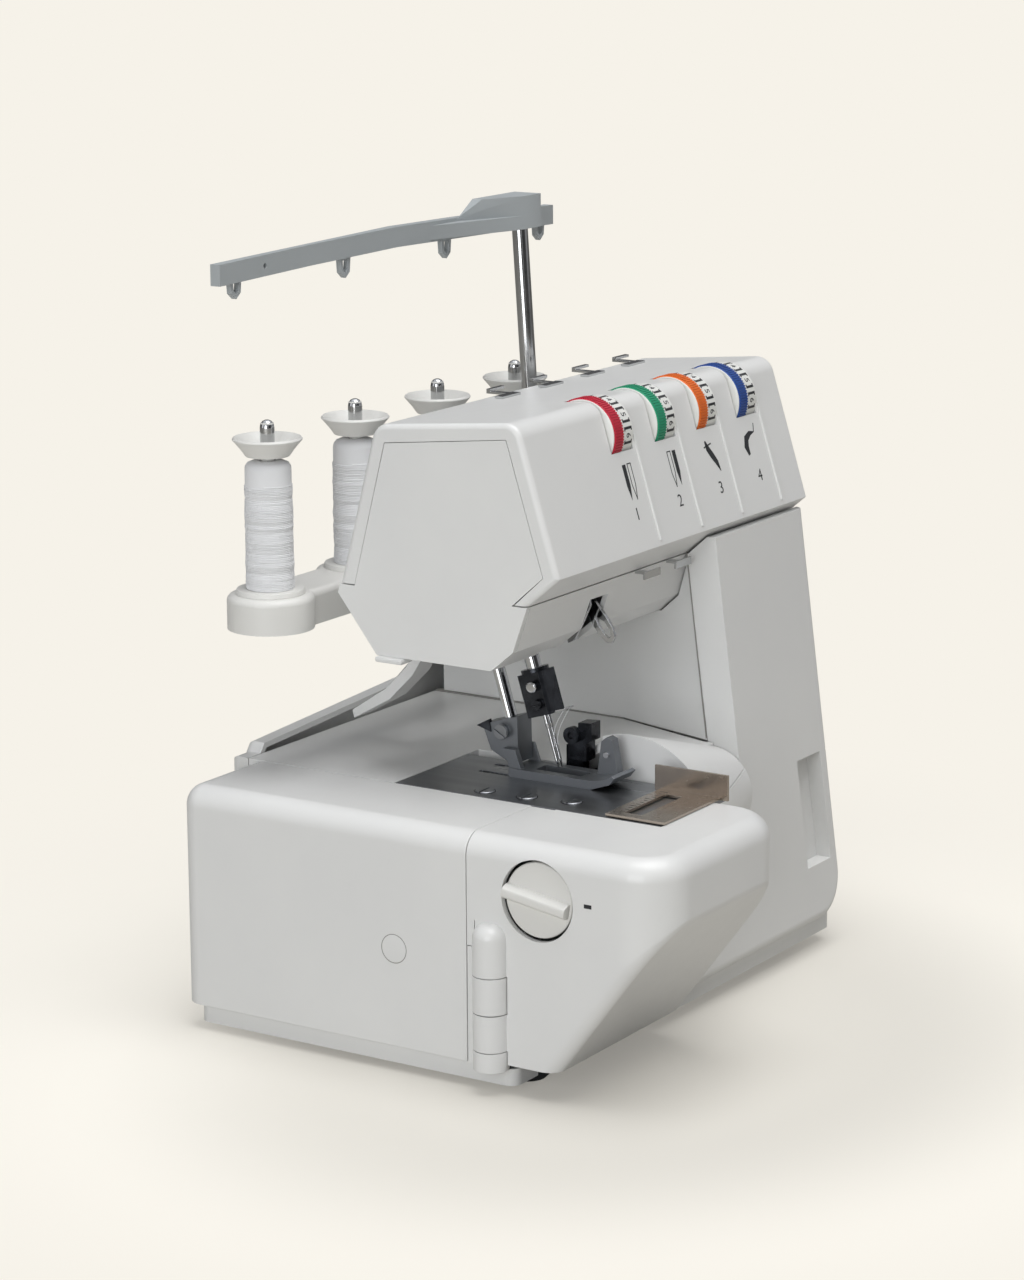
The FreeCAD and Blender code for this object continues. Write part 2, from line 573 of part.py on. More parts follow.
def head_top_cover():
    body = new_body("head_top_cover")
    back = f"ridge_y - (seam_z - ridge_z) * {BACK_SLOPE}"
    pad(body, "YZ", "head_left", "head_right", HEAD_FRONT + [(back, "seam_z")])
    top_front, top_back, chin = size("head_top"), size("head_back_z"), size("chin_z")
    dress(body, "Fillet", "head_round", lambda m, t: near(abs(t.x), 1) and (near(m.z, top_front)
          or near(m.z, top_back)))
    hollow(body, "wall", lambda c, n: n.z < -0.99)
    left, right, base = size("head_left"), size("head_right"), size("seam_z")
    dress(body, "Fillet", "head_edge",
          lambda m, t: (near(m.x, left) or near(m.x, right)) and m.z > base + 0.1)
    # slots for the four tension dials
    for number in range(4):
        low = f"dial_first + {number} * dial_pitch - dial_side_gap"
        pocket(body, "YZ", low, f"{low} + dial_width + 2 * dial_side_gap",
               ("dial_y", "dial_z", "dial_radius + free_gap"))
    # opening for the face cover
    inset = "(face_inset + wall)"
    lean = "tan(face_lean)"
    pocket(body, "YZ", "head_left - 1", "head_left + wall + 1",
           [(f"seam_y + {inset}", "seam_z - 1"),
            (f"head_front - (head_top - chin_z) * {lean} + {inset}", "chin_z"),
            (f"head_front + {inset} - 2", f"head_top - {inset}"),
            (f"head_back - {inset} + 2", f"head_back_z - {inset}"), (f"{back} - {inset}", "seam_z - 1")])
    # thin raised lines part the four thread channels on the front
    for number in range(4):
        start = f"dial_first + {number} * dial_pitch + dial_width + 2.6"
        pad(body, "YZ", start, f"{start} + 1.6",
            [(f"{CHIN_Y} + 2.2 * {lean} + 1", "chin_z + 2.2"),
             (f"{CHIN_Y} + 2.2 * {lean} - 0.7", "chin_z + 2.4"),
             (f"head_front - (head_round + 3) * {lean} - 0.7", "head_top - head_round - 3"),
             (f"head_front - (head_round + 3) * {lean} + 1", "head_top - head_round - 3")])
    return body


def lower_head_housing():
    body = new_body("lower_head_housing")
    gap = "seam_z - seam"
    back = f"ridge_y - (seam_z - ridge_z) * {BACK_SLOPE}"
    pad(body, "YZ", "head_left + wall + seam", "body_right - wall - seam",
        [("under_front", "under_z"), ("under_back", "under_z"), ("ridge_y", "ridge_z"), (back, gap),
         ("seam_y", gap), ("bevel_y", "bevel_z")])
    hollow(body, "wall", lambda c, n: n.z > 0.99)
    # the bars, the take-up lever and the presser lifter pass through the underside
    block(body, "needle_x - 7", "under_front - 1.5", "under_z - 1", "presser_x + 6", "presser_y + 19",
          "under_z + 5", cut=True)
    block(body, "take_up_left - 4.5", "seam_y - 1", "under_z - 1", "take_up_left + 10", "52", "seam_z - 7",
          cut=True)
    block(body, "92", "84", "under_z - 1", "108", "ridge_y + 1", "seam_z - 9", cut=True)
    # inside the pillar only the bevel behind goes on
    block(body, "panel_rear_x + wall", "under_front - 20", "under_z - 1", "body_right", "under_back + 4",
          "seam_z + 1", cut=True)
    return body


def face_cover():
    """Left end of the head: an inset panel above the seam and the full profile below it."""
    body = new_body("face_cover")
    inset = "(face_inset + wall + fine_seam)"
    back = f"ridge_y - (seam_z - ridge_z) * {BACK_SLOPE}"
    pad(body, "YZ", "head_left", "head_left + wall",
        [("under_front", "under_z"), ("under_back", "under_z"), ("ridge_y", "ridge_z"),
         (back, "seam_z - seam"),
         (f"{back} - {inset}", "seam_z - seam"), (f"head_back - {inset} + 2", f"head_back_z - {inset}"),
         (f"head_front + {inset} - 2", f"head_top - {inset}"), (f"{CHIN_Y} + {inset}", "chin_z"),
         (f"seam_y + {inset}", "seam_z - seam"), ("seam_y", "seam_z - seam"), ("bevel_y", "bevel_z")])
    return body


# ---------------------------------------------------------------- frame

def base_frame():
    """Casting: floor, left wall, rear wall of the looper space, column, arm and bar bracket."""
    body = new_body("base_frame")
    block(body, "frame_left", "frame_front", "body_base", "frame_right", "frame_rear", "frame_floor")
    floor = "frame_floor - 1"
    pad(body, "YZ", "plate_left + 1", "plate_left + 7",
        [("84", floor), ("84", PLATE_BASE), ("plate_front + 1", PLATE_BASE),
         ("plate_front + 1", "bed_top - 11"),
         ("knob_y - 10", "knob_z - 13"), ("frame_front", "frame_floor + 15"), ("frame_front", floor)])
    block(body, "plate_left + 6", "74", "frame_floor + 48", "plate_right - 1", "84", PLATE_BASE)
    block(body, "plate_left + 6", "plate_front + 1", PLATE_BASE + " - 5", "plate_right - 25",
          "plate_front + 8", PLATE_BASE)
    # wall that carries the two looper shafts
    block(body, "plate_left + 6", "56", floor, "upper_looper_x + 8", "68", "upper_looper_z + 14")
    # column and arm
    pad(body, "YZ", "column_left", "column_right",
        [("60", floor), ("140", floor), ("140", "under_z - 14"), ("rocker_y + 5", "under_z - 2"),
         ("rocker_y + 12", "rocker_z - 5"), ("rocker_y + 12", "214"), ("rocker_y - 4", "214"),
         ("60", "rocker_z - 20")])
    pad(body, "YZ", "arm_left", "column_right",
        [("91", "rocker_z"), ("101", "rocker_z"), ("101", "214"), ("92.5", "214")])
    pad(body, "YZ", "arm_left", "arm_end",
        [("40", "160"), ("94", "160"), ("101", "200"), ("97", "230"), ("60", "230"), ("60", "222"),
         ("94.5", "222"), ("78", "168"), ("40", "168")])
    pocket(body, "YZ", "plate_left", "column_right + 1", ("shaft_y", "shaft_z", "shaft_radius + run_gap"))
    pocket(body, "YZ", "arm_left - 1", "column_right + 1",
           ("rocker_y", "rocker_z", "rocker_radius + run_gap"))
    block(body, "lifter_left - free_gap", "lifter_y - 9", "lifter_z - 9", "arm_end + 1", "lifter_y + 9",
          "lifter_z + 9", cut=True)
    block(body, "arm_end + free_gap", "rocker_y", "rocker_z - 1", "arm_end + 6 + 2 * free_gap",
          "rocker_y + 10.5", "rocker_z + 11", cut=True)
    pad(body, "YZ", "arm_left + 12", "lifter_left + 17", ("lifter_y", "lifter_z", "lifter_bore"))
    block(body, "lifter_left + 14.5", "rocker_y + rocker_radius + free_gap", "lifter_z - 4",
          "lifter_left + 17.5", "lifter_y + 1", "rocker_z + 11")
    block(body, f"{dial_start(2)} + 20", "92", "210", f"{dial_start(2)} + 28", "95", "dial_z - 4")
    pad(body, "YZ", "arm_end - 1", "take_up_left + 8.5", ("take_up_y", "take_up_z", "take_up_bore"))
    pad(body, "YZ", "arm_end - 2", "arm_end + 2",
        [("take_up_y - 6", "160"), ("take_up_y + 6", "160"), ("take_up_y + 4", "take_up_z + 5"),
         ("take_up_y - 4", "take_up_z + 5")])
    pocket(body, "YZ", "plate_left", "plate_left + 8", ("knob_y", "knob_z", "knob_shaft + run_gap"))
    pocket(body, "YZ", "column_left - 1", "column_right + 1", ("motor_y", "motor_z", "10 + free_gap"))
    pocket(body, "XZ", "50", "70", ("lower_looper_x", "lower_looper_z", "looper_radius + run_gap"),
           ("upper_looper_x", "upper_looper_z", "looper_radius + run_gap"))
    bored_out("base_frame", ((NEEDLE, "bar_lean", "needle_bar_radius + bush_wall"),
                             (PRESSER, "bar_lean", "presser_radius + bush_wall")))


def bar_frame(label, x, y, z):
    """A body whose own Z axis runs up a bar that leans to the back."""
    return new_body(label, x=x, y=y, z=z, axis=(-1, 0, 0), angle="bar_lean")


def bored_out(label, bores):
    """Take leaning cylinders out of the body made last; bores are (place, lean, radius)."""
    blank = subparts.pop()
    cutters = []
    for place, lean, radius in bores:
        rod = doc.addObject("Part::Cylinder", "BoreTool")
        tie(rod, "Radius", radius)
        x, y, z = place
        low, high = ("-80", "mast_top + free_gap") if "mast" in x else ("0", "bore_reach")
        tie(rod, "Height", f"({high}) - ({low})")
        set_down(rod, x=x, y=f"{y} + ({low}) * sin({lean})", z=f"{z} + ({low}) * cos({lean})",
                 axis=(-1, 0, 0), angle=lean)
        cutters.append(rod)
    bored = doc.addObject("Part::Cut", "Bored")
    bored.Base = blank
    bored.Tool = cutters[0]
    if len(cutters) > 1:
        bored.Tool = doc.addObject("Part::MultiFuse", "BoreTools")
        bored.Tool.Shapes = cutters
    blank.Label = label + "_blank"
    return keep(bored, label)


def bar_bushes():
    """Two plain bushes for the needle bar and two for the presser bar."""
    bushes = []
    for place, radius, drop in ((NEEDLE, "needle_bar_radius", "0"), (PRESSER, "presser_radius", "11.5")):
        for low, high in (("low_bush_foot", "low_bush_top"), ("high_bush_foot", "high_bush_top")):
            bush = bar_frame("bush", *place)
            turn(bush, [(f"{radius} + run_gap", f"{low} - {drop}"),
                        (f"{radius} + bush_wall", f"{low} - {drop}"),
                        (f"{radius} + bush_wall", f"{high} - {drop}"),
                        (f"{radius} + run_gap", f"{high} - {drop}")])
            bushes.append(bush)
    return group("bar_bushes", bushes)


# ---------------------------------------------------------------- needle bar group

def needle_bar():
    body = bar_frame("needle_bar", *NEEDLE)
    turn(body, [("0", "needle_bar_foot"), ("needle_bar_radius", "needle_bar_foot"),
                ("needle_bar_radius", "needle_bar_top - 1"), ("needle_bar_radius - 1", "needle_bar_top"),
                ("0", "needle_bar_top")])
    # clamp half way up, with the side pin that the needle lever drives
    block(body, "-6", "-6", "84", "6", "6", "92")
    pad(body, "YZ", "5", "18", ("0", "88", "2"))
    return body


def needle_clamp():
    body = bar_frame("needle_clamp", *NEEDLE)
    half = "clamp_half"
    block(body, f"-{half}", f"-{half}", "clamp_foot", half, half, "clamp_top")
    dress(body, "Chamfer", "1", lambda m, t: near(abs(t.z), 1))
    pad(body, "XY", "clamp_top", "clamp_top + 1.6", ("0", "0", "needle_bar_radius + 2.6"))
    pocket(body, "XY", "needle_bar_foot", "clamp_top + 2", ("0", "0", "needle_bar_radius"))
    pocket(body, "XY", "clamp_foot - 1", "needle_bar_foot + 1", ("-needle_spread", "0", "needle_shank"),
           ("needle_spread", "0", "needle_shank"))
    # the two slotted screws that hold the needles
    for height in ("clamp_foot + 5", "clamp_foot + 12.5"):
        pad(body, "YZ", f"-{half} - 2.2", f"-{half}", ("-1.5", height, "2.1"))
        pocket(body, "YZ", f"-{half} - 2.3", f"-{half} - 1.2",
               rectangle("-5", f"{height} - 0.4", "2", f"{height} + 0.4"))
    return body


def needles():
    pair = []
    for side in ("-", ""):
        needle = new_body("needle", x=f"needle_x + {side}needle_spread", y="needle_y", z="needle_z",
                          axis=(-1, 0, 0), angle="bar_lean")
        turn(needle, [("0", "needle_tip"), ("needle_radius", "needle_tip + 4"),
                      ("needle_radius", "clamp_foot - 6"),
                      ("needle_shank", "clamp_foot - 4"), ("needle_shank", "needle_bar_foot"),
                      ("0", "needle_bar_foot")])
        pair.append(needle)
    return group("needles", pair)


# ---------------------------------------------------------------- presser group

def presser_bar():
    body = bar_frame("presser_bar", *PRESSER)
    turn(body, [("0", "0"), ("presser_radius", "0"), ("presser_radius", "collar_foot"),
                ("presser_radius + 2.2", "collar_foot"), ("presser_radius + 2.2", "collar_top"),
                ("presser_radius", "collar_top"), ("presser_radius", "presser_top - 1"),
                ("presser_radius - 1", "presser_top"), ("0", "presser_top")])
    block(body, "-4", "0.8", "-1", "4", "4", "22", cut=True)
    return body


def presser_spring():
    """Coil spring between the collar and the upper web, drawn as its closed outer shape in open turns."""
    turns, wire = 8, 0.6
    coil = size("presser_radius") + 1.2
    low, high = size("collar_top") + 0.3 + wire, size("high_bush_foot") - 13.5
    pitch = (high - low - wire) / turns
    path = Part.makeHelix(pitch, pitch * turns, coil)
    path.translate(Vector(0, 0, low))
    start = path.Edges[0].valueAt(path.Edges[0].FirstParameter)
    ring = Part.Wire(Part.makeCircle(wire, start, Vector(0, 1, 0)))
    solid = Part.Wire(path.Edges).makePipeShell([ring], True, True)
    spring = doc.addObject("Part::Feature", "Spring")
    spring.Shape = solid
    set_down(spring, *PRESSER, axis=(-1, 0, 0), angle="bar_lean")
    return keep(spring, "presser_spring")


def presser_ankle():
    body = new_body("presser_ankle")
    pad(body, "YZ", "presser_x - 5.5", "presser_x + 5.5",
        [("68.2", "121"), ("51", "126.24"), ("50.5", "106.5"), ("55.5", "106.5"), ("64", "110.5")])
    pad(body, "YZ", "presser_x - 7.7", "presser_x - 5.5", ("57.5", "119.5", "2.9"))
    block(body, "presser_x - 8", "54", "119", "presser_x - 7", "61", "120", cut=True)
    pocket(body, "YZ", "presser_x - 6", "presser_x + 6", ("53", "110", "1.5 + run_gap"))
    return body


def presser_foot():
    body = new_body("presser_foot")
    top = "bed_top + foot_thick"
    pad(body, "YZ", "foot_left_x", "foot_right_x",
        [("52.5", "bed_top"), ("13", "bed_top"), ("4", "bed_top + 3.2"), ("1.5", "bed_top + 6.2"),
         ("3", "bed_top + 7"), ("6.5", "bed_top + 5"), ("13", top), ("52.5", top)])
    # slot for the needles, open towards the knife side
    block(body, "needle_x - 4", "20", "bed_top - 1", "needle_x + 4", "42", top + " + 1", cut=True)
    # front yoke and the two ears that hold the ankle
    pad(body, "YZ", "foot_right_x - 5", "foot_right_x",
        [("7", top + " - 0.5"), ("17", top + " - 0.5"), ("15", "119"), ("12.5", "121"), ("10", "120")])
    for low, high in (("foot_left_x + 1", "presser_x - 5.5 - free_gap"),
                      ("presser_x + 5.5 + free_gap", "foot_right_x")):
        pad(body, "YZ", low, high,
            [("47", top + " - 0.5"), ("52.5", top + " - 0.5"), ("56", "113"), ("50", "113")])
    pad(body, "YZ", "foot_left_x + 1", "foot_right_x", ("53", "110", "1.5"))
    return body


def presser_lifter():
    body = new_body("presser_lifter")
    pad(body, "YZ", "lifter_left", "lifter_left + 13",
        [("91", "158"), ("89", "165"), ("92", "171"), ("98", "171"), ("101.5", "166"), ("103", "157"),
         ("107.5", "149"),
         ("113.5", "137.5"), ("124.5", "126.5"), ("142", "115"), ("141", "111.5"), ("122.5", "122"),
         ("110.5", "134"), ("103", "146")])
    pocket(body, "YZ", "lifter_left - 1", "lifter_left + 14",
           ("lifter_y", "lifter_z", "lifter_bore + run_gap"))
    return body


# ---------------------------------------------------------------- loopers, knives, feed

def needle_plate():
    body = new_body("needle_plate")
    block(body, "plate_left", "plate_front", PLATE_BASE, "plate_right", "plate_rear", "bed_top")
    block(body, "needle_x - 3.2", "24", PLATE_BASE + " - 1", "needle_x + 3.2", "36", "bed_top + 1",
          cut=True)
    for left in ("needle_x - 7.5", "needle_x + 4.5"):
        block(body, left, "38", PLATE_BASE + " - 1", f"{left} + 3", "68", "bed_top + 1", cut=True)
    return body


def plate_screws():
    screws = []
    for x, y in (("54.5", "48.8"), ("55.7", "29.3"), ("58.8", "9.8")):
        screw = new_body("screw", x=x, y=y, z="bed_top")
        turn(screw, [("0", "0"), ("4.2", "0"), ("3.8", "0.5"), ("0", "0.5")])
        block(screw, "-5", "-0.5", "0.1", "5", "0.5", "1", cut=True)
        screws.append(screw)
    return group("needle_plate_screws", screws)


def lower_looper():
    body = new_body("lower_looper")
    x, z = "lower_looper_x", "lower_looper_z"
    pad(body, "XZ", "30", "40", (x, z, "8"))
    pad(body, "XZ", "34", "36.5",
        [(f"{x} - 6", z), (f"{x} + 6", z), (f"{x} + 5", f"{z} + 30"), (f"{x} + 12", f"{z} + 41"),
         (f"{x} + 20", f"{z} + 44.5"), (f"{x} + 19", f"{z} + 46.5"), (f"{x} + 8", f"{z} + 45"),
         (f"{x} - 2", f"{z} + 34")])
    pad(body, "XZ", "26", "72", (x, z, "looper_radius"))
    return body


def upper_looper():
    body = new_body("upper_looper")
    x, z = "upper_looper_x", "upper_looper_z"
    pad(body, "XZ", "20", "30", (x, z, "8"))
    pad(body, "XZ", "24", "26.5",
        [(f"{x} - 5", z), (f"{x} + 5", z), (f"{x} + 1", f"{z} + 38"), (f"{x} - 11", f"{z} + 48"),
         (f"{x} - 21", f"{z} + 50.5"), (f"{x} - 21.5", f"{z} + 49"), (f"{x} - 14", f"{z} + 45"),
         (f"{x} - 7", f"{z} + 36")])
    pad(body, "XZ", "16", "72", (x, z, "looper_radius"))
    return body


def upper_knife():
    """Holder block with its blade, guided beside the needle plate."""
    body = new_body("upper_knife")
    block(body, "101.6", "31", "75", "106.6", "39", "112")
    pad(body, "YZ", "99.5", "106.6",
        [("28", "106.4"), ("37", "106.4"), ("37", "115"), ("32", "116.5"), ("32", "122.5"), ("25.5", "123"),
         ("25.5", "115.5"), ("28", "114")])
    pad(body, "YZ", "96.4", "99.6", ("33.8", "117.4", "3.6"))
    pocket(body, "YZ", "96", "97.6", ("33.8", "117.4", "1.5"))
    return body


def lower_knife():
    body = new_body("lower_knife")
    block(body, "95", "30", "76", "99.5", "36", PLATE_BASE)
    return body


def feed_dog():
    body = new_body("feed_dog")
    block(body, "needle_x - 7.1", "42", "88", "needle_x + 7.1", "64", "94")
    for left in ("needle_x - 7.1", "needle_x + 4.9"):
        pad(body, "YZ", left, f"{left} + 2.2",
            [("42", "93"), ("64", "93"), ("64", "bed_top - 1.2")]
            + [(f"64 - {step} * 2.2 - {lean}", f"bed_top - {drop}") for step in range(10)
               for lean, drop in (("0.2", "0.3"), ("2.0", "1.1"))]
            + [("42", "bed_top - 1.1")])
    return body


# ---------------------------------------------------------------- drive

def main_shaft():
    body = new_body("main_shaft", x="shaft_left", y="shaft_y", z="shaft_z", axis=(0, 1, 0), angle="90")
    length = "wheel_right - shaft_left"
    turn(body, [("0", "0"), ("shaft_radius", "0"), ("shaft_radius", f"{length} - 2"),
                ("0", f"{length} - 2")])
    # eccentric that drives the connecting rod
    pad(body, "XY", "rod_left - shaft_left", "rod_left + 5 - shaft_left", ("0", "2", "12"))
    return body


def rim_profile(radius, width, bore):
    """Grooved belt pulley."""
    return [(bore, "0"), (radius, "0"), (radius, "1.2"), (f"{radius} - 2", "2"),
            (f"{radius} - 2", f"{width} - 2"), (radius, f"{width} - 1.2"), (radius, width), (bore, width)]


def drive_pulley():
    body = new_body("drive_pulley", x="pulley_left", y="shaft_y", z="shaft_z", axis=(0, 1, 0), angle="90")
    turn(body, rim_profile("pulley_radius", "pulley_width", "shaft_radius"))
    return body


def handwheel():
    body = new_body("handwheel", x="wheel_left", y="shaft_y", z="shaft_z", axis=(0, 1, 0), angle="90")
    wide = "wheel_right - wheel_left"
    turn(body, [("shaft_radius", "0"), ("wheel_radius - 2", "0"), ("wheel_radius", "2"),
                ("wheel_radius", f"{wide} - 3"),
                ("wheel_radius - 3", wide), ("wheel_radius - 8", wide),
                ("wheel_radius - 11", f"{wide} - 6"),
                ("shaft_radius + 7", f"{wide} - 6"), ("shaft_radius + 6", wide), ("shaft_radius", wide)])
    return body


def motor():
    body = new_body("motor", x="motor_left", y="motor_y", z="motor_z", axis=(0, 1, 0), angle="90")
    long = "motor_right - motor_left"
    turn(body, [("0", "0"), ("motor_radius - 3", "0"), ("motor_radius", "3"),
                ("motor_radius", f"{long} - 3"),
                ("motor_radius - 3", long), ("10", long), ("10", f"{long} + 6"),
                ("3 + run_gap", f"{long} + 6"), ("3 + run_gap", f"{long} - 8"), ("0", f"{long} - 8")])
    return body


def motor_pulley():
    body = new_body("motor_pulley", x="motor_right - 6", y="motor_y", z="motor_z", axis=(0, 1, 0),
                    angle="90")
    start = "pulley_left - motor_right + 6"
    shape = [("0", "0"), ("3", "0"), ("3", start)]
    shape += [(r, f"{start} + ({h})") for r, h in rim_profile("motor_pulley_radius", "pulley_width",
                                                              "3")[1:-1]]
    shape += [("3", f"{start} + pulley_width"), ("0", f"{start} + pulley_width")]
    shape[3] = ("motor_pulley_radius", start)
    turn(body, shape)
    return body


def drive_belt():
    """Belt round both pulleys, one closed loop with straight runs and round ends."""
    big, small = size("pulley_radius") - 2 + 0.3, size("motor_pulley_radius") - 2 + 0.3
    thick = size("belt_thick")
    gap_y, gap_z = size("motor_y") - size("shaft_y"), size("motor_z") - size("shaft_z")
    apart = math.hypot(gap_y, gap_z)
    heading = math.atan2(gap_z, gap_y)
    lean = math.acos((big - small) / apart)

    def loop(grow):
        points = []
        for centre, radius, first, last in (((0, 0), big + grow, heading + lean,
                                             heading - lean + 2 * math.pi),
                                            ((gap_y, gap_z), small + grow, heading - lean, heading + lean)):
            angles = (first, (first + last) / 2, last)
            points.append([Vector(0, centre[0] + radius * math.cos(a), centre[1] + radius * math.sin(a))
                           for a in angles])
        arcs = [Part.Arc(*three).toShape() for three in points]
        runs = [Part.LineSegment(points[0][2], points[1][0]).toShape(),
                Part.LineSegment(points[1][2], points[0][0]).toShape()]
        return Part.Face(Part.Wire([arcs[0], runs[0], arcs[1], runs[1]]))

    belt = doc.addObject("Part::Feature", "Belt")
    belt.Shape = loop(thick).cut(loop(0)).extrude(Vector(size("pulley_width") - 4.6, 0, 0))
    set_down(belt, x="pulley_left + 2.3", y="shaft_y", z="shaft_z")
    return keep(belt, "drive_belt")


def rocker_shaft():
    """Shaft along the arm with the needle lever at one end and the driven arm at the other."""
    body = new_body("rocker_shaft")
    pad(body, "YZ", "arm_left + 1", "rod_left + 6", ("rocker_y", "rocker_z", "rocker_radius"))
    pad(body, "YZ", "arm_end + 1", "arm_end + 6",
        [("rocker_y + 7", "rocker_z - 4"), ("rocker_y + 5", "rocker_z + 8"), ("66", "205"), ("52", "205"),
         ("52", "201"),
         ("64.5", "201"), ("66", "193"), ("54", "193"), ("54", "189"), ("70", "187"),
         ("rocker_y - 6", "rocker_z - 7")])
    pad(body, "YZ", "rod_left", "rod_left + 5",
        [("rocker_y + 7", "rocker_z - 6"), ("rocker_y + 7", "rocker_z + 6"),
         ("rocker_y - rocker_arm + 1", "rocker_z + 4"), ("rocker_y - rocker_arm + 1", "rocker_z - 4")])
    return body


def connecting_rod():
    """Rod from the eccentric to the rocker arm; its lower strap is left open as a fork."""
    body = new_body("connecting_rod", y="rocker_y - rocker_arm - 6", z="rocker_z")
    block(body, "rod_left", "-4", "96 - rocker_z", "rod_left + 5", "3", "8")
    block(body, "rod_left - 4", "-4", "90 - rocker_z", "rod_left + 9", "3", "98 - rocker_z")
    block(body, "rod_left - 0.6", "-5", "89 - rocker_z", "rod_left + 5.6", "4", "95 - rocker_z", cut=True)
    return body


# ---------------------------------------------------------------- thread path

def tension_dial(number, colour):
    """Wheel with a ribbed grip half and a slightly smaller half for its number ring."""
    body = new_body(f"dial_{colour}", x=dial_start(number), y="dial_y", z="dial_z", axis=(0, 1, 0),
                    angle="90")
    half = "dial_width / 2"
    turn(body, [("dial_bore + run_gap", "0"), ("dial_radius", "0"), ("dial_radius", half),
                ("dial_radius - 0.4", half), ("dial_radius - 0.4", "dial_width"),
                ("dial_bore + run_gap", "dial_width")])
    return body


def tension_bracket():
    """Rail behind the dials with an ear for each stud."""
    body = new_body("tension_bracket")
    block(body, "dial_first - 8", "dial_y + dial_radius + 3", "dial_z - 8",
          f"{dial_start(3)} + dial_width + 12", "dial_y + dial_radius + 6", "dial_z + 8")
    for number in range(4):
        block(body, f"{dial_start(number)} - 5", "dial_y - 5", "dial_z - 7", f"{dial_start(number)} - 3",
              "dial_y + dial_radius + 4", "dial_z + 4")
    block(body, f"{dial_start(2)} + 20", "dial_y + dial_radius + 5", "dial_z - 8",
          f"{dial_start(2)} + 28", "92", "dial_z - 4")
    for number in range(4):
        pad(body, "YZ", f"{dial_start(number)} - 4", f"{dial_start(number)} + dial_width + 10",
            ("dial_y", "dial_z", "dial_bore"))
    return body


def tension_discs():
    pairs = []
    for number in range(4):
        for step in ("2.5", "4.6"):
            disc = new_body("disc", x=f"{dial_start(number)} + dial_width + {step}", y="dial_y", z="dial_z",
                            axis=(0, 1, 0), angle="90")
            turn(disc, [("dial_bore", "0"), ("disc_radius", "0.5"), ("disc_radius", "1.1"),
                        ("dial_bore", "0.9")])
            pairs.append(disc)
    return group("tension_discs", pairs)


def thread_guides():
    """Bent sheet guides on the head's top and under its chin."""
    guides = []
    for number, x in enumerate(("118", "152", "186", "220")):
        guide = new_body("guide")
        z = "(head_back_z + (head_back - 80) * (head_top - head_back_z) / (head_back - head_front))"
        block(guide, x, "80", z, f"{x} + 14", "84", f"{z} + 1")
        block(guide, f"{x} + 9", "80", z, f"{x} + 12", "94", f"{z} + 1")
        block(guide, f"{x} + 9", "92", f"{z} + 0.9", f"{x} + 20", "94", f"{z} + 2")
        guides.append(guide)
    for x in ("127.5", "153"):
        guide = new_body("guide")
        block(guide, x, "seam_y - 6", "seam_z - 3.2", f"{x} + 13", "seam_y - 5.2", "seam_z - 0.1")
        block(guide, x, "seam_y - 5.3", "seam_z - 1", f"{x} + 4", "seam_y - 1.2", "seam_z - 0.1")
        guides.append(guide)
    return group("thread_guides", guides)


def take_up_lever():
    """Two thin polished blades on one hub."""
    body = new_body("take_up_lever")
    pad(body, "YZ", "take_up_left", "take_up_left + 7", ("take_up_y", "take_up_z", "5"))
    pad(body, "YZ", "take_up_left", "take_up_left + 1.6",
        [("48", "179"), ("40", "180"), ("29", "176"), ("28", "172"), ("31", "165.5"), ("35.5", "156.6"),
         ("38.6", "155"), ("39.2", "156.5"), ("37.2", "161"), ("34", "168"), ("36", "173"), ("44", "172")])
    pad(body, "YZ", "take_up_left + 5.4", "take_up_left + 7",
        [("48", "179"), ("40", "180"), ("32", "176"), ("27", "170.5"), ("23.5", "166.5"), ("20.5", "162.5"),
         ("19.5", "158.6"), ("20.8", "156"), ("23.2", "155.8"), ("26.2", "158"), ("29.4", "161.8"),
         ("33", "168"), ("38", "172"), ("44", "172")])
    pocket(body, "YZ", "take_up_left + 5", "take_up_left + 8",
           [("24.4", "164.6"), ("22", "161.6"), ("21.4", "158.8"), ("22.4", "157.9"), ("24.6", "159.4"),
            ("27.4", "162.8"), ("29.4", "166.6")])
    pocket(body, "YZ", "take_up_left - 1", "take_up_left + 8",
           ("take_up_y", "take_up_z", "take_up_bore + run_gap"))
    return body


def spool_stand():
    """Arm with four round lobes behind the head."""
    body = new_body("spool_stand")
    low = "stand_top - stand_thick"
    last = "stand_first + 3 * stand_pitch"
    block(body, "stand_first", "stand_y - 13", low, last, "stand_y + 13", "stand_top")
    for number in range(4):
        pad(body, "XY", low, "stand_top", (f"stand_first + {number} * stand_pitch", "stand_y",
                                           "stand_radius"))
    top = size("stand_top")
    dress(body, "Fillet", "3", lambda m, t: near(m.z, top))
    block(body, "panel_rear_x + wall + 1", "ridge_y + 1", low, "body_right - side_round - wall", "stand_y",
          "stand_top - 1")
    pins = [(f"stand_first + {number} * stand_pitch", "stand_y", "pin_radius") for number in range(4)]
    pad(body, "XY", low + " + 3", "pin_top", *pins)
    bored_out("spool_stand", ((("mast_x", "mast_y", "mast_z"), "mast_lean", "mast_radius + sleeve_wall"),))


def spool_pads():
    pads = []
    for number in range(4):
        pad_body = new_body("pad", x=f"stand_first + {number} * stand_pitch", y="stand_y", z="stand_top")
        turn(pad_body, [("pin_radius", "0"), ("pad_radius", "0"), ("pad_radius - 0.6", "pad_thick"),
                        ("spool_core", "pad_thick"), ("pin_radius", "pad_thick")])
        pads.append(pad_body)
    return group("spool_pads", pads)


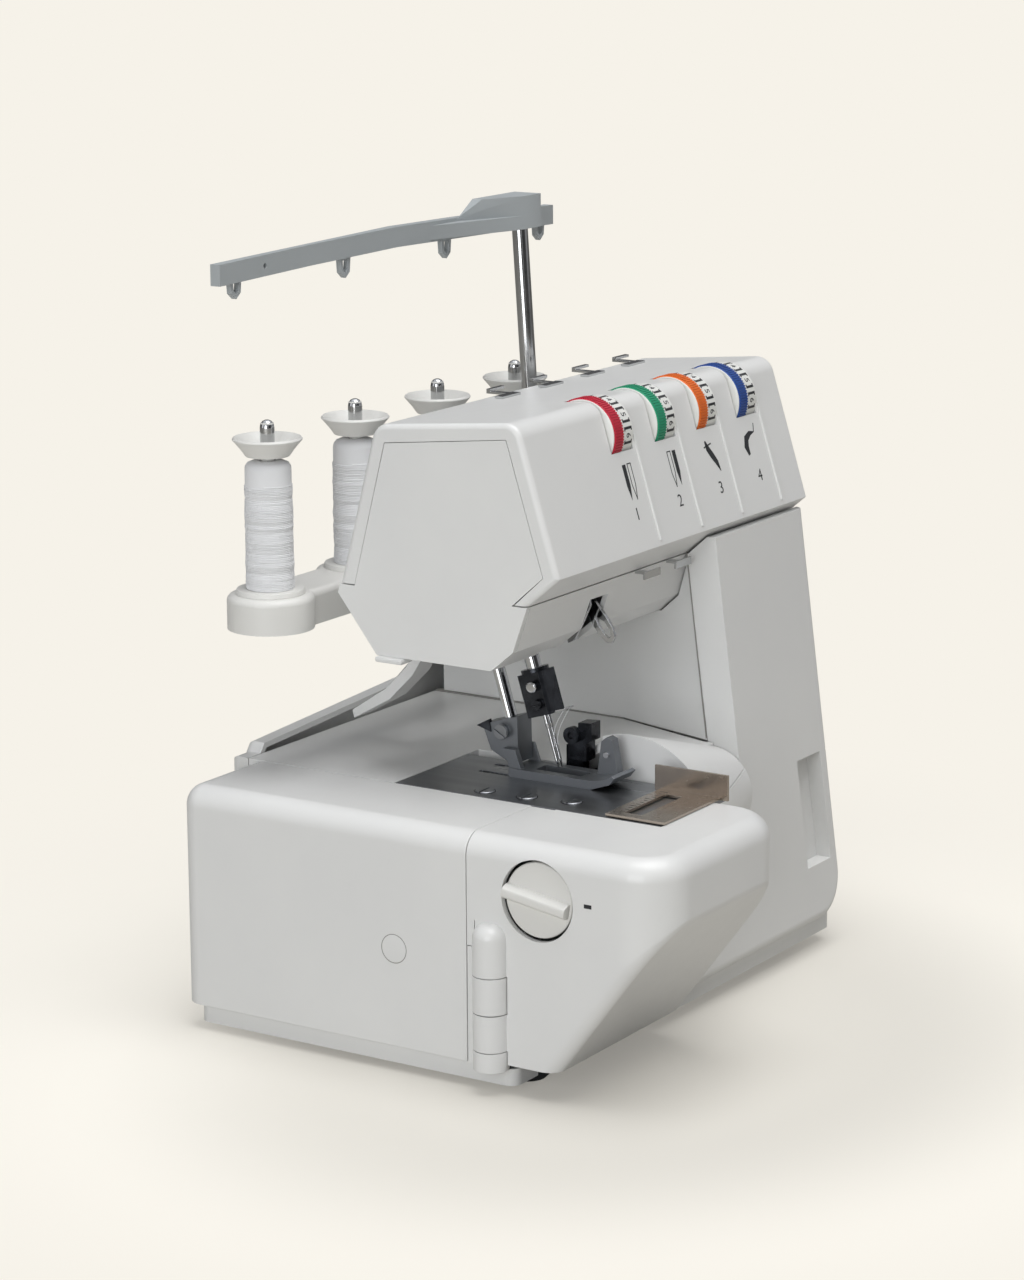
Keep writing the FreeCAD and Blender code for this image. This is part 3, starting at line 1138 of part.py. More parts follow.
def thread_spool(number):
    body = new_body(f"thread_spool_{number + 1}", x=f"stand_first + {number} * stand_pitch", y="stand_y",
                    z="stand_top + pad_thick + free_gap / 4")
    turn(body, [("spool_bore", "0"), ("spool_radius - 1.5", "0"), ("spool_radius", "1.5"),
                ("spool_radius", "spool_height - 3"), ("spool_core", "spool_height"),
                ("spool_bore", "spool_height")])
    return body


def spool_caps():
    caps = []
    for number in range(4):
        cap = new_body("cap", x=f"stand_first + {number} * stand_pitch", y="stand_y",
                       z="stand_top + pad_thick + free_gap / 2 + spool_height + cap_lift")
        turn(cap, [("pin_radius", "0"), ("cap_radius - 5.5", "0"), ("cap_radius - 3.4", "cap_height - 5"),
                   ("cap_radius", "cap_height - 1"), ("cap_radius - 0.8", "cap_height"),
                   ("cap_radius - 5", "cap_height - 4"), ("pin_radius + 3", "cap_height - 5"),
                   ("pin_radius", "cap_height - 5")])
        caps.append(cap)
    return group("spool_caps", caps)


def mast_body(label):
    return new_body(label, x="mast_x", y="mast_y", z="mast_z", axis=(-1, 0, 0), angle="mast_lean")


def antenna_rod():
    body = mast_body("antenna_rod")
    turn(body, [("0", "mast_foot"), ("mast_radius", "mast_foot"), ("mast_radius", "mast_top"),
                ("0", "mast_top")])
    return body


def antenna_sleeve():
    """Fixed tube inside the casing that the rod slides down into."""
    body = mast_body("antenna_sleeve")
    outer = "mast_radius + sleeve_wall"
    turn(body, [("mast_radius + run_gap", "sleeve_foot"), (outer, "sleeve_foot"), (outer, "sleeve_top"),
                ("mast_radius + run_gap", "sleeve_top")])
    return body


def thread_guide_bar():
    body = new_body("thread_guide_bar", x="0", y="bar_y", z="bar_z")
    high = "bar_height"
    arch = [("bar_left", "0"), ("bar_left + 60", "1.6"), ("(bar_left + bar_right) / 2", "2.6"),
            ("bar_right - 60", "1.6"), ("bar_right", "0")]
    low_side = arch
    top_side = [(x, f"{z} + {high}") for x, z in reversed(arch)]
    half = "bar_thick / 2"
    pad(body, "XZ", f"-{half}", half, low_side + top_side)
    # bracket from the bar to the mast, and the sloping block that takes the rod's top
    mast = "mast_y + mast_top * sin(mast_lean) - bar_y"
    pad(body, "XY", "3", "9", [("mast_x - 60", f"-{half}"), ("mast_x + 12", f"-{half}"),
                               ("mast_x + 7", f"{mast} - 7"),
                                ("mast_x - 7", f"{mast} - 7")])
    pad(body, "XY", "5", "17.5", [("mast_x - 38", f"-{half}"), ("mast_x + 7", f"-{half}"), ("mast_x + 7",
                                                                                            f"{mast} - 7"),
                                  ("mast_x - 7", f"{mast} - 7")])
    pocket(body, "XZ", f"{mast} - 8", half, [("mast_x - 39", "10"), ("mast_x - 26", "18"), ("mast_x - 39",
                                                                                            "18")])
    pocket(body, "XZ", "-9", "9", ("bar_left + 30", "5", "1.1"))
    for number in range(4):
        x = f"hook_first + {number} * hook_pitch"
        pad(body, "XZ", "-1.2", "1.2", [(f"{x} - 3.6", "2"), (f"{x} + 3.6", "2"), (f"{x} + 3", "-4"),
                                        (f"{x}", "-6.4"), (f"{x} - 3", "-4")])
        pocket(body, "XZ", "-2", "2", [(f"{x} - 2", "1"), (f"{x} + 2", "1"), (f"{x} + 1.6", "-3"), (f"{x}",
                                                                                                    "-4.4"),
                                       (f"{x} - 1.6", "-3")])
    bored_out("thread_guide_bar", ((("mast_x", "mast_y", "mast_z"), "mast_lean", "mast_radius + run_gap"),))


# ---------------------------------------------------------------- seam guide, power parts, lamp

def seam_guide():
    """Sliding edge guide with a window and an upright fence."""
    body = new_body("seam_guide")
    block(body, "plate_left + 1", "plate_front - 1", "bed_top + 0.3", "92", "-13", "bed_top + 1.5")
    block(body, "plate_left + 6", "-27", "bed_top", "84", "-19", "bed_top + 2", cut=True)
    block(body, "90.8", "plate_front - 5", "bed_top + 0.3", "92", "-10", "bed_top + 11")
    return body


def power_socket():
    """Switch housing and mains inlet with its two contacts."""
    body = new_body("power_socket")
    block(body, "body_right - wall - 12", "socket_y", "socket_z", "body_right + 1",
          "socket_y + socket_wide", "socket_z + socket_high")
    block(body, "body_right - 4", "socket_y + 1.5", "socket_z + 1.5", "body_right + 2", "socket_y + 10",
          "socket_z + socket_high - 1.5", cut=True)
    block(body, "body_right - 8", "socket_y + 14.5", "socket_z + 2.5", "body_right + 2",
          "socket_y + socket_wide - 2", "socket_z + socket_high - 2.5", cut=True)
    contact = "socket_y + 19.75"
    pad(body, "YZ", "body_right - 9", "body_right - 1", (contact, "socket_z + 5.5", "1.2"),
        (contact, "socket_z + socket_high - 5.5", "1.2"))
    pocket(body, "XZ", "socket_y + 0.5", "socket_y + 11",
           ("body_right - 1.5", "socket_z + socket_high / 2", "rocker_pin + run_gap"))
    return body


def power_rocker():
    """Switch button on a pin that turns in the housing's side walls."""
    body = new_body("power_rocker", x="body_right - 1.5", y="socket_y + 5.75",
                    z="socket_z + socket_high / 2")
    pad(body, "XZ", "-3.8", "3.8", [("-1", "-6.5"), ("2.4", "-6.5"), ("1.6", "0"), ("3.6", "6.5"), ("-1",
                                                                                                    "6.5")])
    pad(body, "XZ", "-5", "5", ("0", "0", "rocker_pin"))
    return body


# ---------------------------------------------------------------- build

for make in (base_tray, rubber_feet, side_cover, front_door, door_hinge_leaf, stitch_length_knob, bed_cover,
             pillar_front_cover, pillar_side_panel, rear_casing, right_side_cover, head_top_cover,
             lower_head_housing, face_cover, base_frame, bar_bushes, needle_bar, needle_clamp, needles,
             presser_bar, presser_spring, presser_ankle, presser_foot, presser_lifter, needle_plate,
             plate_screws,
             lower_looper, upper_looper, upper_knife, lower_knife, feed_dog, main_shaft, drive_pulley,
             handwheel,
             motor, motor_pulley, drive_belt, rocker_shaft, connecting_rod, tension_bracket, tension_discs,
             thread_guides, take_up_lever, spool_stand, spool_pads, spool_caps, antenna_rod, antenna_sleeve,
             thread_guide_bar, seam_guide, power_socket, power_rocker):
    make()
for number, colour in enumerate(DIALS):
    tension_dial(number, colour)
for number in range(4):
    thread_spool(number)

doc.recompute()
for thing in doc.Objects:
    if "Invalid" in thing.State or "Error" in thing.State:
        raise RuntimeError(f"{thing.Label}: {thing.State}")
for feature in cuts:
    if feature.Shape.Volume > feature.BaseFeature.Shape.Volume - 0.01:
        raise RuntimeError(f"{feature.getParentGeoFeatureGroup().Label}: a cut takes nothing away")
for thing in subparts:
    if thing.Shape.isNull() or not thing.Shape.isValid():
        raise RuntimeError(f"{thing.Label}: bad shape")

os.makedirs("parts", exist_ok=True)
for thing in subparts:
    thing.Shape.exportStep(os.path.join("parts", thing.Label + ".step"))
print(len(subparts), "sub-parts")
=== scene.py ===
"""Finishes and fine detail for a household overlock serger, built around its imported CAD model."""
import json
import math

import bmesh
import bpy
from bpy.props import FloatProperty, FloatVectorProperty, IntProperty, PointerProperty
from bpy.types import Operator, Panel, PropertyGroup
from mathutils import Matrix, Vector

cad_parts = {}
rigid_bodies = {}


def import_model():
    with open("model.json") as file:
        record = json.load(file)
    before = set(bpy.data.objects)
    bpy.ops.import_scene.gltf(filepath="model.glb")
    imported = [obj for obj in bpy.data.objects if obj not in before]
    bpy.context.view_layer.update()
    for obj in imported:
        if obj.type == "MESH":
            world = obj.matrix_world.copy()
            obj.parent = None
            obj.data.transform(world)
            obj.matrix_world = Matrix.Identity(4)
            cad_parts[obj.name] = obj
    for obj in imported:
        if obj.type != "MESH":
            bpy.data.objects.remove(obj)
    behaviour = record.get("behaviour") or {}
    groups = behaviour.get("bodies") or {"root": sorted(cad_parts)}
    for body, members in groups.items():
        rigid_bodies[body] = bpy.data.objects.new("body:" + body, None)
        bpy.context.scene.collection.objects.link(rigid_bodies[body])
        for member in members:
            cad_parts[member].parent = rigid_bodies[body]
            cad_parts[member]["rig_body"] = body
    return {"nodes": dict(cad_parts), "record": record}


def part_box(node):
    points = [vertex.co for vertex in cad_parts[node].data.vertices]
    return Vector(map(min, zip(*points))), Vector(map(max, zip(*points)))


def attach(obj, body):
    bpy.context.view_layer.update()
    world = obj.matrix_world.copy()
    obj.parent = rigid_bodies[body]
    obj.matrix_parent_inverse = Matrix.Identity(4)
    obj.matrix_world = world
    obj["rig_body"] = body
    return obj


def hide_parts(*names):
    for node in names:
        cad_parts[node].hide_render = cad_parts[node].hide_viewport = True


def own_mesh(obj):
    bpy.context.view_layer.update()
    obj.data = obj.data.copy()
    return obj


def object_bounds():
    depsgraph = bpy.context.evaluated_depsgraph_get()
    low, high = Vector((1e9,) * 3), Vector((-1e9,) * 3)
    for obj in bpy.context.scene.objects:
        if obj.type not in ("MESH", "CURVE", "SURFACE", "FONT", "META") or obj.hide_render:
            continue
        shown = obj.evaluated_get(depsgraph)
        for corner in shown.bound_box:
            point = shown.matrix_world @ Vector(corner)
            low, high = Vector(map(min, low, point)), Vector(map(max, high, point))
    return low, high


bl_info = {
    "name": "Overlock serger",
    "version": (1, 0, 0),
    "blender": (4, 5, 0),
    "location": "View3D > Sidebar > Serger",
    "description": "Adds finishes, fittings and small parts to the machine's fixed frame",
    "category": "Object",
}

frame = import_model()
CAD_BOX = [list(corner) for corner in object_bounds()]
SLOTS = {part["node"]: part["material_slot"] for part in frame["record"]["subparts"]}
# The drawing's zero, found from the corner of the left cover that the drawing puts at (-3, 20.5, 8) mm.
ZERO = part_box("side_cover")[0] * 1000 - Vector((-3.0, 20.5, 8.0))
TO_METRES = Matrix.Scale(0.001, 4) @ Matrix.Translation(ZERO)
NEEDLE_LEAN = math.radians(17.0)
FACE_LEAN = math.radians(17.3)
PILLAR_LEAN = math.radians(7.4)
PAPER = "#F6F2E9"

# Sizes and places in the drawing, in millimetres.
HEAD_FRONT, HEAD_TOP = 27.0, 256.0
NEEDLE_BAR_FOOT = (86.5, 34.5, 113)
CLAMP_HALF, CLAMP_FOOT, NEEDLE_SPREAD = 6, 16, 1.3
PLUG_MIDDLE = (-2.9, 55, 48.9)
DIAL_NAMES = ("red", "green", "orange", "blue")
DIAL_FIRST, DIAL_PITCH, DIAL_Y, DIAL_Z = 108, 34.5, 35.1, 241.0
DIAL_BORE, RING_RADIUS = 3.05, 15.1
SPOOL_FIRST, SPOOL_PITCH, SPOOL_Y, SPOOL_FOOT = 31, 62, 137.6, 180.6
SPOOL_BORE = 3.35
INK_HALF = 0.05


def linear(code):
    """An sRGB hex code as the linear colour that shaders take."""
    steps = [int(code[k:k + 2], 16) / 255 for k in (1, 3, 5)]
    return tuple(s / 12.92 if s <= 0.04045 else ((s + 0.055) / 1.055) ** 2.4 for s in steps)


def add(tree, kind, sockets=None, stops=None, **settings):
    """Add a node; sockets give its inputs as values or links, stops the colours of a ramp."""
    node = tree.nodes.new(kind)
    for name, value in settings.items():
        setattr(node, name, value)
    for name, value in (sockets or {}).items():
        if isinstance(value, bpy.types.NodeSocket):
            tree.links.new(value, node.inputs[name])
        else:
            node.inputs[name].default_value = value
    if stops:
        while len(node.color_ramp.elements) < len(stops):
            node.color_ramp.elements.new(1.0)
        for stop, (position, colour) in zip(node.color_ramp.elements, stops):
            stop.position = position
            stop.color = (*colour, 1.0)
    return node


# ---------------------------------------------------------------- finishes

def surface(name, pattern, bump_mm, colours, rough, shader, stretch=(1, 1, 1), drift=9.0):
    """A principled surface with a relief pattern, a drifting tone between two colours and uneven gloss.

    pattern is the spacing of the relief in millimetres, bump_mm its depth, rough the least and most
    roughness.
    """
    found = bpy.data.materials.get(name)
    if found:
        return found
    material = bpy.data.materials.new(name)
    material.use_nodes = True
    tree = material.node_tree
    tree.nodes.clear()
    spot = add(tree, "ShaderNodeTexCoord").outputs["Object"]
    laid = add(tree, "ShaderNodeMapping", {"Vector": spot, "Scale": stretch})
    relief = add(tree, "ShaderNodeTexNoise",
                 {"Vector": laid.outputs[0], "Scale": 1000.0 / pattern, "Detail": 3.0, "Roughness": 0.55})
    slow = add(tree, "ShaderNodeTexNoise", {"Vector": spot, "Scale": drift, "Detail": 4.0, "Roughness": 0.6})
    stops = [(place, linear(c) if isinstance(c, str) else c) for place, c in zip((0.3, 0.7), colours)]
    tone = add(tree, "ShaderNodeValToRGB", {"Fac": slow.outputs["Fac"]}, stops=stops)
    smear = add(tree, "ShaderNodeTexNoise", {"Vector": laid.outputs[0], "Scale": 160.0, "Detail": 5.0})
    gloss = add(tree, "ShaderNodeMapRange",
                {"Value": smear.outputs["Fac"], "From Min": 0.3, "From Max": 0.7, "To Min": rough[0],
                 "To Max": rough[1]})
    bump = add(tree, "ShaderNodeBump",
               {"Height": relief.outputs["Fac"], "Strength": 1.0, "Distance": bump_mm / 1000.0})
    skin = add(tree, "ShaderNodeBsdfPrincipled",
               {"Base Color": tone.outputs["Color"], "Roughness": gloss.outputs["Result"],
                "Normal": bump.outputs["Normal"], **shader})
    add(tree, "ShaderNodeOutputMaterial", {"Surface": skin.outputs["BSDF"]})
    return material


def casing_abs():
    """Injection-moulded ABS. A fine grain softens its highlights, and the tone drifts a little."""
    return surface("moulded_abs_white", 0.9, 0.006, ("#DEDEDD", "#E4E4E2"), (0.30, 0.38), {"IOR": 1.53})


def warm_abs():
    """The same moulding in a warmer, less glossy resin, for the knob and the spool parts."""
    return surface("moulded_abs_warm", 0.8, 0.008, ("#DDDCD8", "#E2E1DD"), (0.40, 0.50), {"IOR": 1.53})


def bar_abs():
    """Grey ABS with a dull moulded skin."""
    return surface("moulded_abs_grey", 0.7, 0.008, ("#A3A8AA", "#ABB0B2"), (0.46, 0.56), {"IOR": 1.53})


def black_abs():
    """Black ABS for the switch and the mains socket."""
    return surface("moulded_abs_black", 0.6, 0.01, ("#151517", "#1C1C1F"), (0.42, 0.55), {"IOR": 1.53})


def dial_abs(name, colour):
    """Deep-dyed ABS grip ring; its dye lies a little unevenly."""
    return surface(f"moulded_abs_{name}", 0.5, 0.006, (tuple(c * 0.85 for c in colour), colour), (0.36, 0.46),
                   {"IOR": 1.53})


def ring_abs():
    """White number ring, smoother than the casing."""
    return surface("number_ring_white", 0.5, 0.003, ("#E6E6E2", "#ECECE8"), (0.30, 0.36), {"IOR": 1.53})


def ink():
    """Pad-printed black ink: it covers fully, with a slightly duller skin than the plastic."""
    return surface("printed_ink_black", 0.25, 0.002, ("#17181B", "#212226"), (0.45, 0.6), {"IOR": 1.5})


def seam_grey():
    """Painted shade: a grey skin standing in for the shaded depth of a narrow gap between two mouldings."""
    return surface("moulding_gap", 0.8, 0.004, ("#8E8C88", "#989692"), (0.6, 0.7), {"IOR": 1.5})


def chrome():
    """Polished chrome plate: mirror-like, with faint handling marks that blur it in patches."""
    return surface("chrome_plate", 3.0, 0.0025, ("#B9BABB", "#C6C7C8"), (0.07, 0.16), {"Metallic": 1.0})


def ground_steel():
    """Needle plate, shafts and screws: ground steel, whose fine scratches run along Y and blur the sheen."""
    return surface("ground_steel", 0.5, 0.005, ("#85878A", "#929497"), (0.26, 0.40), {"Metallic": 1.0},
                   stretch=(1, 0.06, 1))


def nickel():
    """Nickel-plated pressed sheet, warmer than chrome and a little cloudy."""
    return surface("nickel_plate", 1.8, 0.003, ("#A59A8E", "#B6ACA1"), (0.16, 0.30), {"Metallic": 1.0})


def zinc_cast():
    """Die-cast zinc with a satin plate: a soft pebbled skin left by the die."""
    return surface("cast_zinc_satin", 0.8, 0.012, ("#74777C", "#838689"), (0.34, 0.46), {"Metallic": 0.8})


def black_oxide():
    """Blackened steel: near black, with paler rubbed patches and an oily sheen."""
    return surface("black_oxide_steel", 0.7, 0.008, ("#2A2B2F", "#44474C"), (0.16, 0.32), {"Metallic": 0.9},
                   drift=180.0)


def cast_aluminium():
    """Pressure-cast aluminium left as cast: dull and grainy."""
    return surface("cast_aluminium", 1.1, 0.03, ("#8F9194", "#9EA0A2"), (0.48, 0.62), {"Metallic": 0.9})


def motor_steel():
    """Zinc-passivated motor can, faintly spangled."""
    return surface("passivated_steel", 5.0, 0.004, ("#8C8B84", "#A3A199"), (0.32, 0.44), {"Metallic": 1.0},
                   drift=120.0)


def bronze():
    """Sintered bronze bush: brown-gold and porous."""
    return surface("sintered_bronze", 0.4, 0.02, ("#86653A", "#9A7747"), (0.42, 0.55), {"Metallic": 1.0})


def rubber():
    """Moulded rubber for the feet and the belt: matt, with a greyish bloom."""
    return surface("moulded_rubber", 0.6, 0.02, ("#1A1B1D", "#242527"), (0.66, 0.8), {"IOR": 1.5})


def sewing_thread():
    """Spun polyester thread. Each turn scatters light softly; fibres show as a fine diagonal fuzz."""
    return surface("spun_thread_white", 0.35, 0.03, ("#E3E4E6", "#EEEEEF"), (0.7, 0.85),
                   {"Sheen Weight": 0.3, "Sheen Roughness": 0.5, "IOR": 1.5}, stretch=(1, 1, 3))


CAD_FINISH = {
    "white_casing": casing_abs, "off_white_plastic": warm_abs, "black_plastic": black_abs, "rubber": rubber,
    "casting": cast_aluminium, "steel": ground_steel, "chrome": chrome, "bronze": bronze,
    "motor_can": motor_steel,
}


# ---------------------------------------------------------------- making meshes in drawing millimetres

class Work:
    """A mesh under way, in drawing millimetres; every shape is added in the place held by `at`."""

    planes = {"XY": (0, 1, 2), "XZ": (0, 2, 1), "YZ": (1, 2, 0)}

    def __init__(self, at=None):
        self.mesh = bmesh.new()
        self.at = at or Matrix()

    def point(self, place):
        """A new vertex."""
        return self.mesh.verts.new(self.at @ Vector(place))

    def skin(self, rings, closed_rings=False):
        """Join rows of vertices, each a ring or a single point, into a surface."""
        count = max(len(ring) for ring in rings)
        pairs = list(zip(rings, rings[1:] + rings[:1] if closed_rings else rings[1:]))
        for low, high in pairs:
            for k in range(count):
                n = (k + 1) % count
                corners = [low[k % len(low)], low[n % len(low)], high[n % len(high)], high[k % len(high)]]
                corners = list(dict.fromkeys(corners))
                if len(corners) > 2:
                    self.mesh.faces.new(corners)

    def slab(self, plane, outline, low, high):
        """A plate: an outline in one plane, from low to high along the third axis."""
        u, v, w = self.planes[plane]
        rings = []
        for level in (low, high):
            ring = []
            for a, b in outline:
                place = [0.0, 0.0, 0.0]
                place[u], place[v], place[w] = a, b, level
                ring.append(self.point(place))
            rings.append(ring)
        self.mesh.faces.new(rings[0])
        self.mesh.faces.new(rings[1])
        self.skin(rings)

    def block(self, low, high):
        """A box between two corners."""
        self.slab("XY", [(low[0], low[1]), (high[0], low[1]), (high[0], high[1]), (low[0], high[1])],
                  low[2], high[2])

    def turned(self, base, axis, outline, sides=48, ring=False):
        """An outline of (radius, height) pairs turned about an axis through base."""
        way = Vector(axis).normalized().to_track_quat("Z", "Y").to_matrix().to_4x4()
        stand = Matrix.Translation(base) @ way
        rows = []
        for radius, height in outline:
            if radius == 0:
                rows.append([self.point(stand @ Vector((0, 0, height)))])
            else:
                angles = [2 * math.pi * k / sides for k in range(sides)]
                rows.append([self.point(stand @ Vector((radius * math.cos(a), radius * math.sin(a), height)))
                             for a in angles])
        self.skin(rows, closed_rings=ring)

    def rod(self, start, end, radius, sides=32):
        """A round bar between two points with slightly broken ends."""
        length = (Vector(end) - Vector(start)).length
        edge = radius * 0.12
        self.turned(start, Vector(end) - Vector(start),
                    [(0, 0), (radius - edge, 0), (radius, edge), (radius, length - edge),
                     (radius - edge, length), (0, length)], sides)

    def wire(self, points, radius, sides=10, steps=6):
        """A round wire or thread along a smooth path through points."""
        knots = [Vector(p) for p in points]
        ends = [2 * knots[0] - knots[1]] + knots + [2 * knots[-1] - knots[-2]]
        path = []
        for k in range(1, len(ends) - 2):
            for step in range(steps):
                t = step / steps
                a, b, c, d = ends[k - 1:k + 3]
                path.append(0.5 * (2 * b + (c - a) * t + (2 * a - 5 * b + 4 * c - d) * t ** 2
                                   + (3 * b - a - 3 * c + d) * t ** 3))
        path.append(knots[-1])
        side = (path[1] - path[0]).orthogonal().normalized()
        rows = [[self.point(path[0])]]
        for k, spot in enumerate(path):
            way = (path[min(k + 1, len(path) - 1)] - path[max(k - 1, 0)]).normalized()
            side = (side - way * side.dot(way)).normalized()
            other = way.cross(side)
            rows.append([self.point(spot + radius * (side * math.cos(2 * math.pi * j / sides)
                                                     + other * math.sin(2 * math.pi * j / sides)))
                         for j in range(sides)])
        rows.append([self.point(path[-1])])
        self.skin(rows)

    def letter(self, text, height, thick):
        """A figure lying in XY, centred on the place held by `at`."""
        curve = bpy.data.curves.new("figure", "FONT")
        curve.body = text
        curve.size = height
        curve.align_x = "CENTER"
        curve.align_y = "CENTER"
        curve.extrude = thick
        curve.resolution_u = 3
        holder = bpy.data.objects.new("figure", curve)
        bpy.context.scene.collection.objects.link(holder)
        bpy.context.view_layer.update()
        flat = bpy.data.meshes.new_from_object(holder.evaluated_get(bpy.context.evaluated_depsgraph_get()))
        flat.transform(self.at)
        self.mesh.from_mesh(flat)
        bpy.data.objects.remove(holder)
        bpy.data.meshes.remove(flat)

    def bend(self, change):
        """Move every vertex to where change puts it."""
        for vertex in self.mesh.verts:
            vertex.co = change(vertex.co)

    def cad(self, node):
        """Take a CAD node's shape, with its triangles joined and its flat faces made whole."""
        copy = frame["nodes"][node].data.copy()
        copy.transform(TO_METRES.inverted())
        self.mesh.from_mesh(copy)
        bpy.data.meshes.remove(copy)
        bmesh.ops.remove_doubles(self.mesh, verts=self.mesh.verts, dist=0.002)
        bmesh.ops.dissolve_limit(self.mesh, angle_limit=math.radians(0.8), verts=self.mesh.verts,
                                 edges=self.mesh.edges)
        return self

    def done(self, name, finish, body, slot, edge=0.0, replaces=(), smooth=40.0, segments=2, tidy=True,
             grown=None):
        """Bring the mesh into the frame's metres, round its edges and hand it to its body."""
        if tidy:
            bmesh.ops.remove_doubles(self.mesh, verts=self.mesh.verts, dist=0.0005)
            bmesh.ops.recalc_face_normals(self.mesh, faces=self.mesh.faces)
        mesh = bpy.data.meshes.new(name)
        self.mesh.to_mesh(mesh)
        self.mesh.free()
        mesh.transform(TO_METRES)
        piece = bpy.data.objects.new(name, mesh)
        bpy.context.scene.collection.objects.link(piece)
        mesh.materials.append(finish)
        if edge:
            bevel = piece.modifiers.new("edge", "BEVEL")
            bevel.width = edge / 1000
            bevel.segments = segments
            bevel.limit_method = "ANGLE"
            bevel.angle_limit = math.radians(30)
        bake(piece)
        if grown:
            grow(piece, grown[0], **grown[1])
        piece.data.shade_smooth()
        piece.data.set_sharp_from_angle(angle=math.radians(smooth))
        weigh = piece.modifiers.new("weigh", "WEIGHTED_NORMAL")
        weigh.keep_sharp = True
        weigh.weight = 60
        bake(piece)
        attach(piece, body)
        if replaces:
            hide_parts(*replaces)
        return piece


def bake(piece):
    """Turn a piece and its modifiers into one plain mesh."""
    if not piece.modifiers:
        return
    bpy.context.view_layer.update()
    solid = bpy.data.meshes.new_from_object(piece.evaluated_get(bpy.context.evaluated_depsgraph_get()),
                                            preserve_all_data_layers=True,
                                            depsgraph=bpy.context.evaluated_depsgraph_get())
    old = piece.data
    piece.modifiers.clear()
    piece.data = solid
    solid.name = piece.name
    if not solid.materials and old.materials:
        solid.materials.append(old.materials[0])
    bpy.data.meshes.remove(old)


def body_of(node):
    """The body that a CAD node belongs to."""
    return frame["nodes"][node]["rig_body"]


def refined(node, finish=None, edge=0.4, **rest):
    """Let a finished copy of a CAD node stand for it."""
    finish = finish or CAD_FINISH[SLOTS[node]]()
    return Work().cad(node).done(f"{node}_finished", finish, body_of(node), SLOTS[node], edge, (node,),
                                 tidy=False, **rest)


def dressed(node):
    """Keep a CAD node's mesh and give it its finish."""
    materials = frame["nodes"][node].data.materials
    materials.clear()
    materials.append(CAD_FINISH[SLOTS[node]]())


def leaning(x, y, z, angle=NEEDLE_LEAN):
    """A place whose Z axis leans back from upright by the angle."""
    return Matrix.Translation((x, y, z)) @ Matrix.Rotation(-angle, 4, "X")


# ---------------------------------------------------------------- what a user may change

class SergerSizes(PropertyGroup):
    """Sizes of the fine detail"""
    casing_edge: FloatProperty(name="Casing edge", description="Rounding of the casing's moulded edges",
                               default=0.0003, unit="LENGTH")
    rib_count: IntProperty(name="Dial ribs", description="Grip ribs round each tension dial", default=84,
                           min=12)
    rib_height: FloatProperty(name="Rib height", description="How far a grip rib stands out", default=0.0004,
                              unit="LENGTH")
    winding_pitch: FloatProperty(name="Winding pitch",
                                 description="Spacing of the thread's outer turns on a spool",
                                 default=0.0007, unit="LENGTH")
    thread_radius: FloatProperty(name="Thread radius", description="Radius of the sewing thread as drawn",
                                 default=0.00014, unit="LENGTH")


class SergerColours(PropertyGroup):
    """Colours of the dial grips"""
    red: FloatVectorProperty(name="First dial", description="Grip colour of the left needle's dial",
                             subtype="COLOR", default=linear("#C9203C"))
    green: FloatVectorProperty(name="Second dial", description="Grip colour of the right needle's dial",
                               subtype="COLOR", default=linear("#1B9C73"))
    orange: FloatVectorProperty(name="Third dial", description="Grip colour of the upper looper's dial",
                                subtype="COLOR", default=linear("#EC741D"))
    blue: FloatVectorProperty(name="Fourth dial", description="Grip colour of the lower looper's dial",
                              subtype="COLOR", default=linear("#1D4C9B"))


# ---------------------------------------------------------------- repeats as geometry nodes

def recipe(name, inputs):
    """An empty geometry-node tree that takes and gives geometry, with named inputs."""
    tree = bpy.data.node_groups.new(name, "GeometryNodeTree")
    tree.interface.new_socket("Geometry", in_out="INPUT", socket_type="NodeSocketGeometry")
    for label, kind in inputs.items():
        tree.interface.new_socket(label, in_out="INPUT", socket_type="NodeSocket" + kind)
    tree.interface.new_socket("Geometry", in_out="OUTPUT", socket_type="NodeSocketGeometry")
    return tree, add(tree, "NodeGroupInput").outputs


def finish_recipe(tree, given, *parts):
    """Join the parts, stand them at the named place and give them their material."""
    both = add(tree, "GeometryNodeJoinGeometry")
    for part in parts:
        tree.links.new(part, both.inputs[0])
    stood = add(tree, "GeometryNodeTransform", {"Geometry": both.outputs[0], "Translation": given["Place"],
                                                "Rotation": given["Turn"]})
    real = add(tree, "GeometryNodeRealizeInstances", {"Geometry": stood.outputs[0]})
    faced = add(tree, "GeometryNodeSetMaterial", {"Geometry": real.outputs[0], "Material": given["Finish"]})
    add(tree, "NodeGroupOutput", {"Geometry": faced.outputs[0]})
    return tree


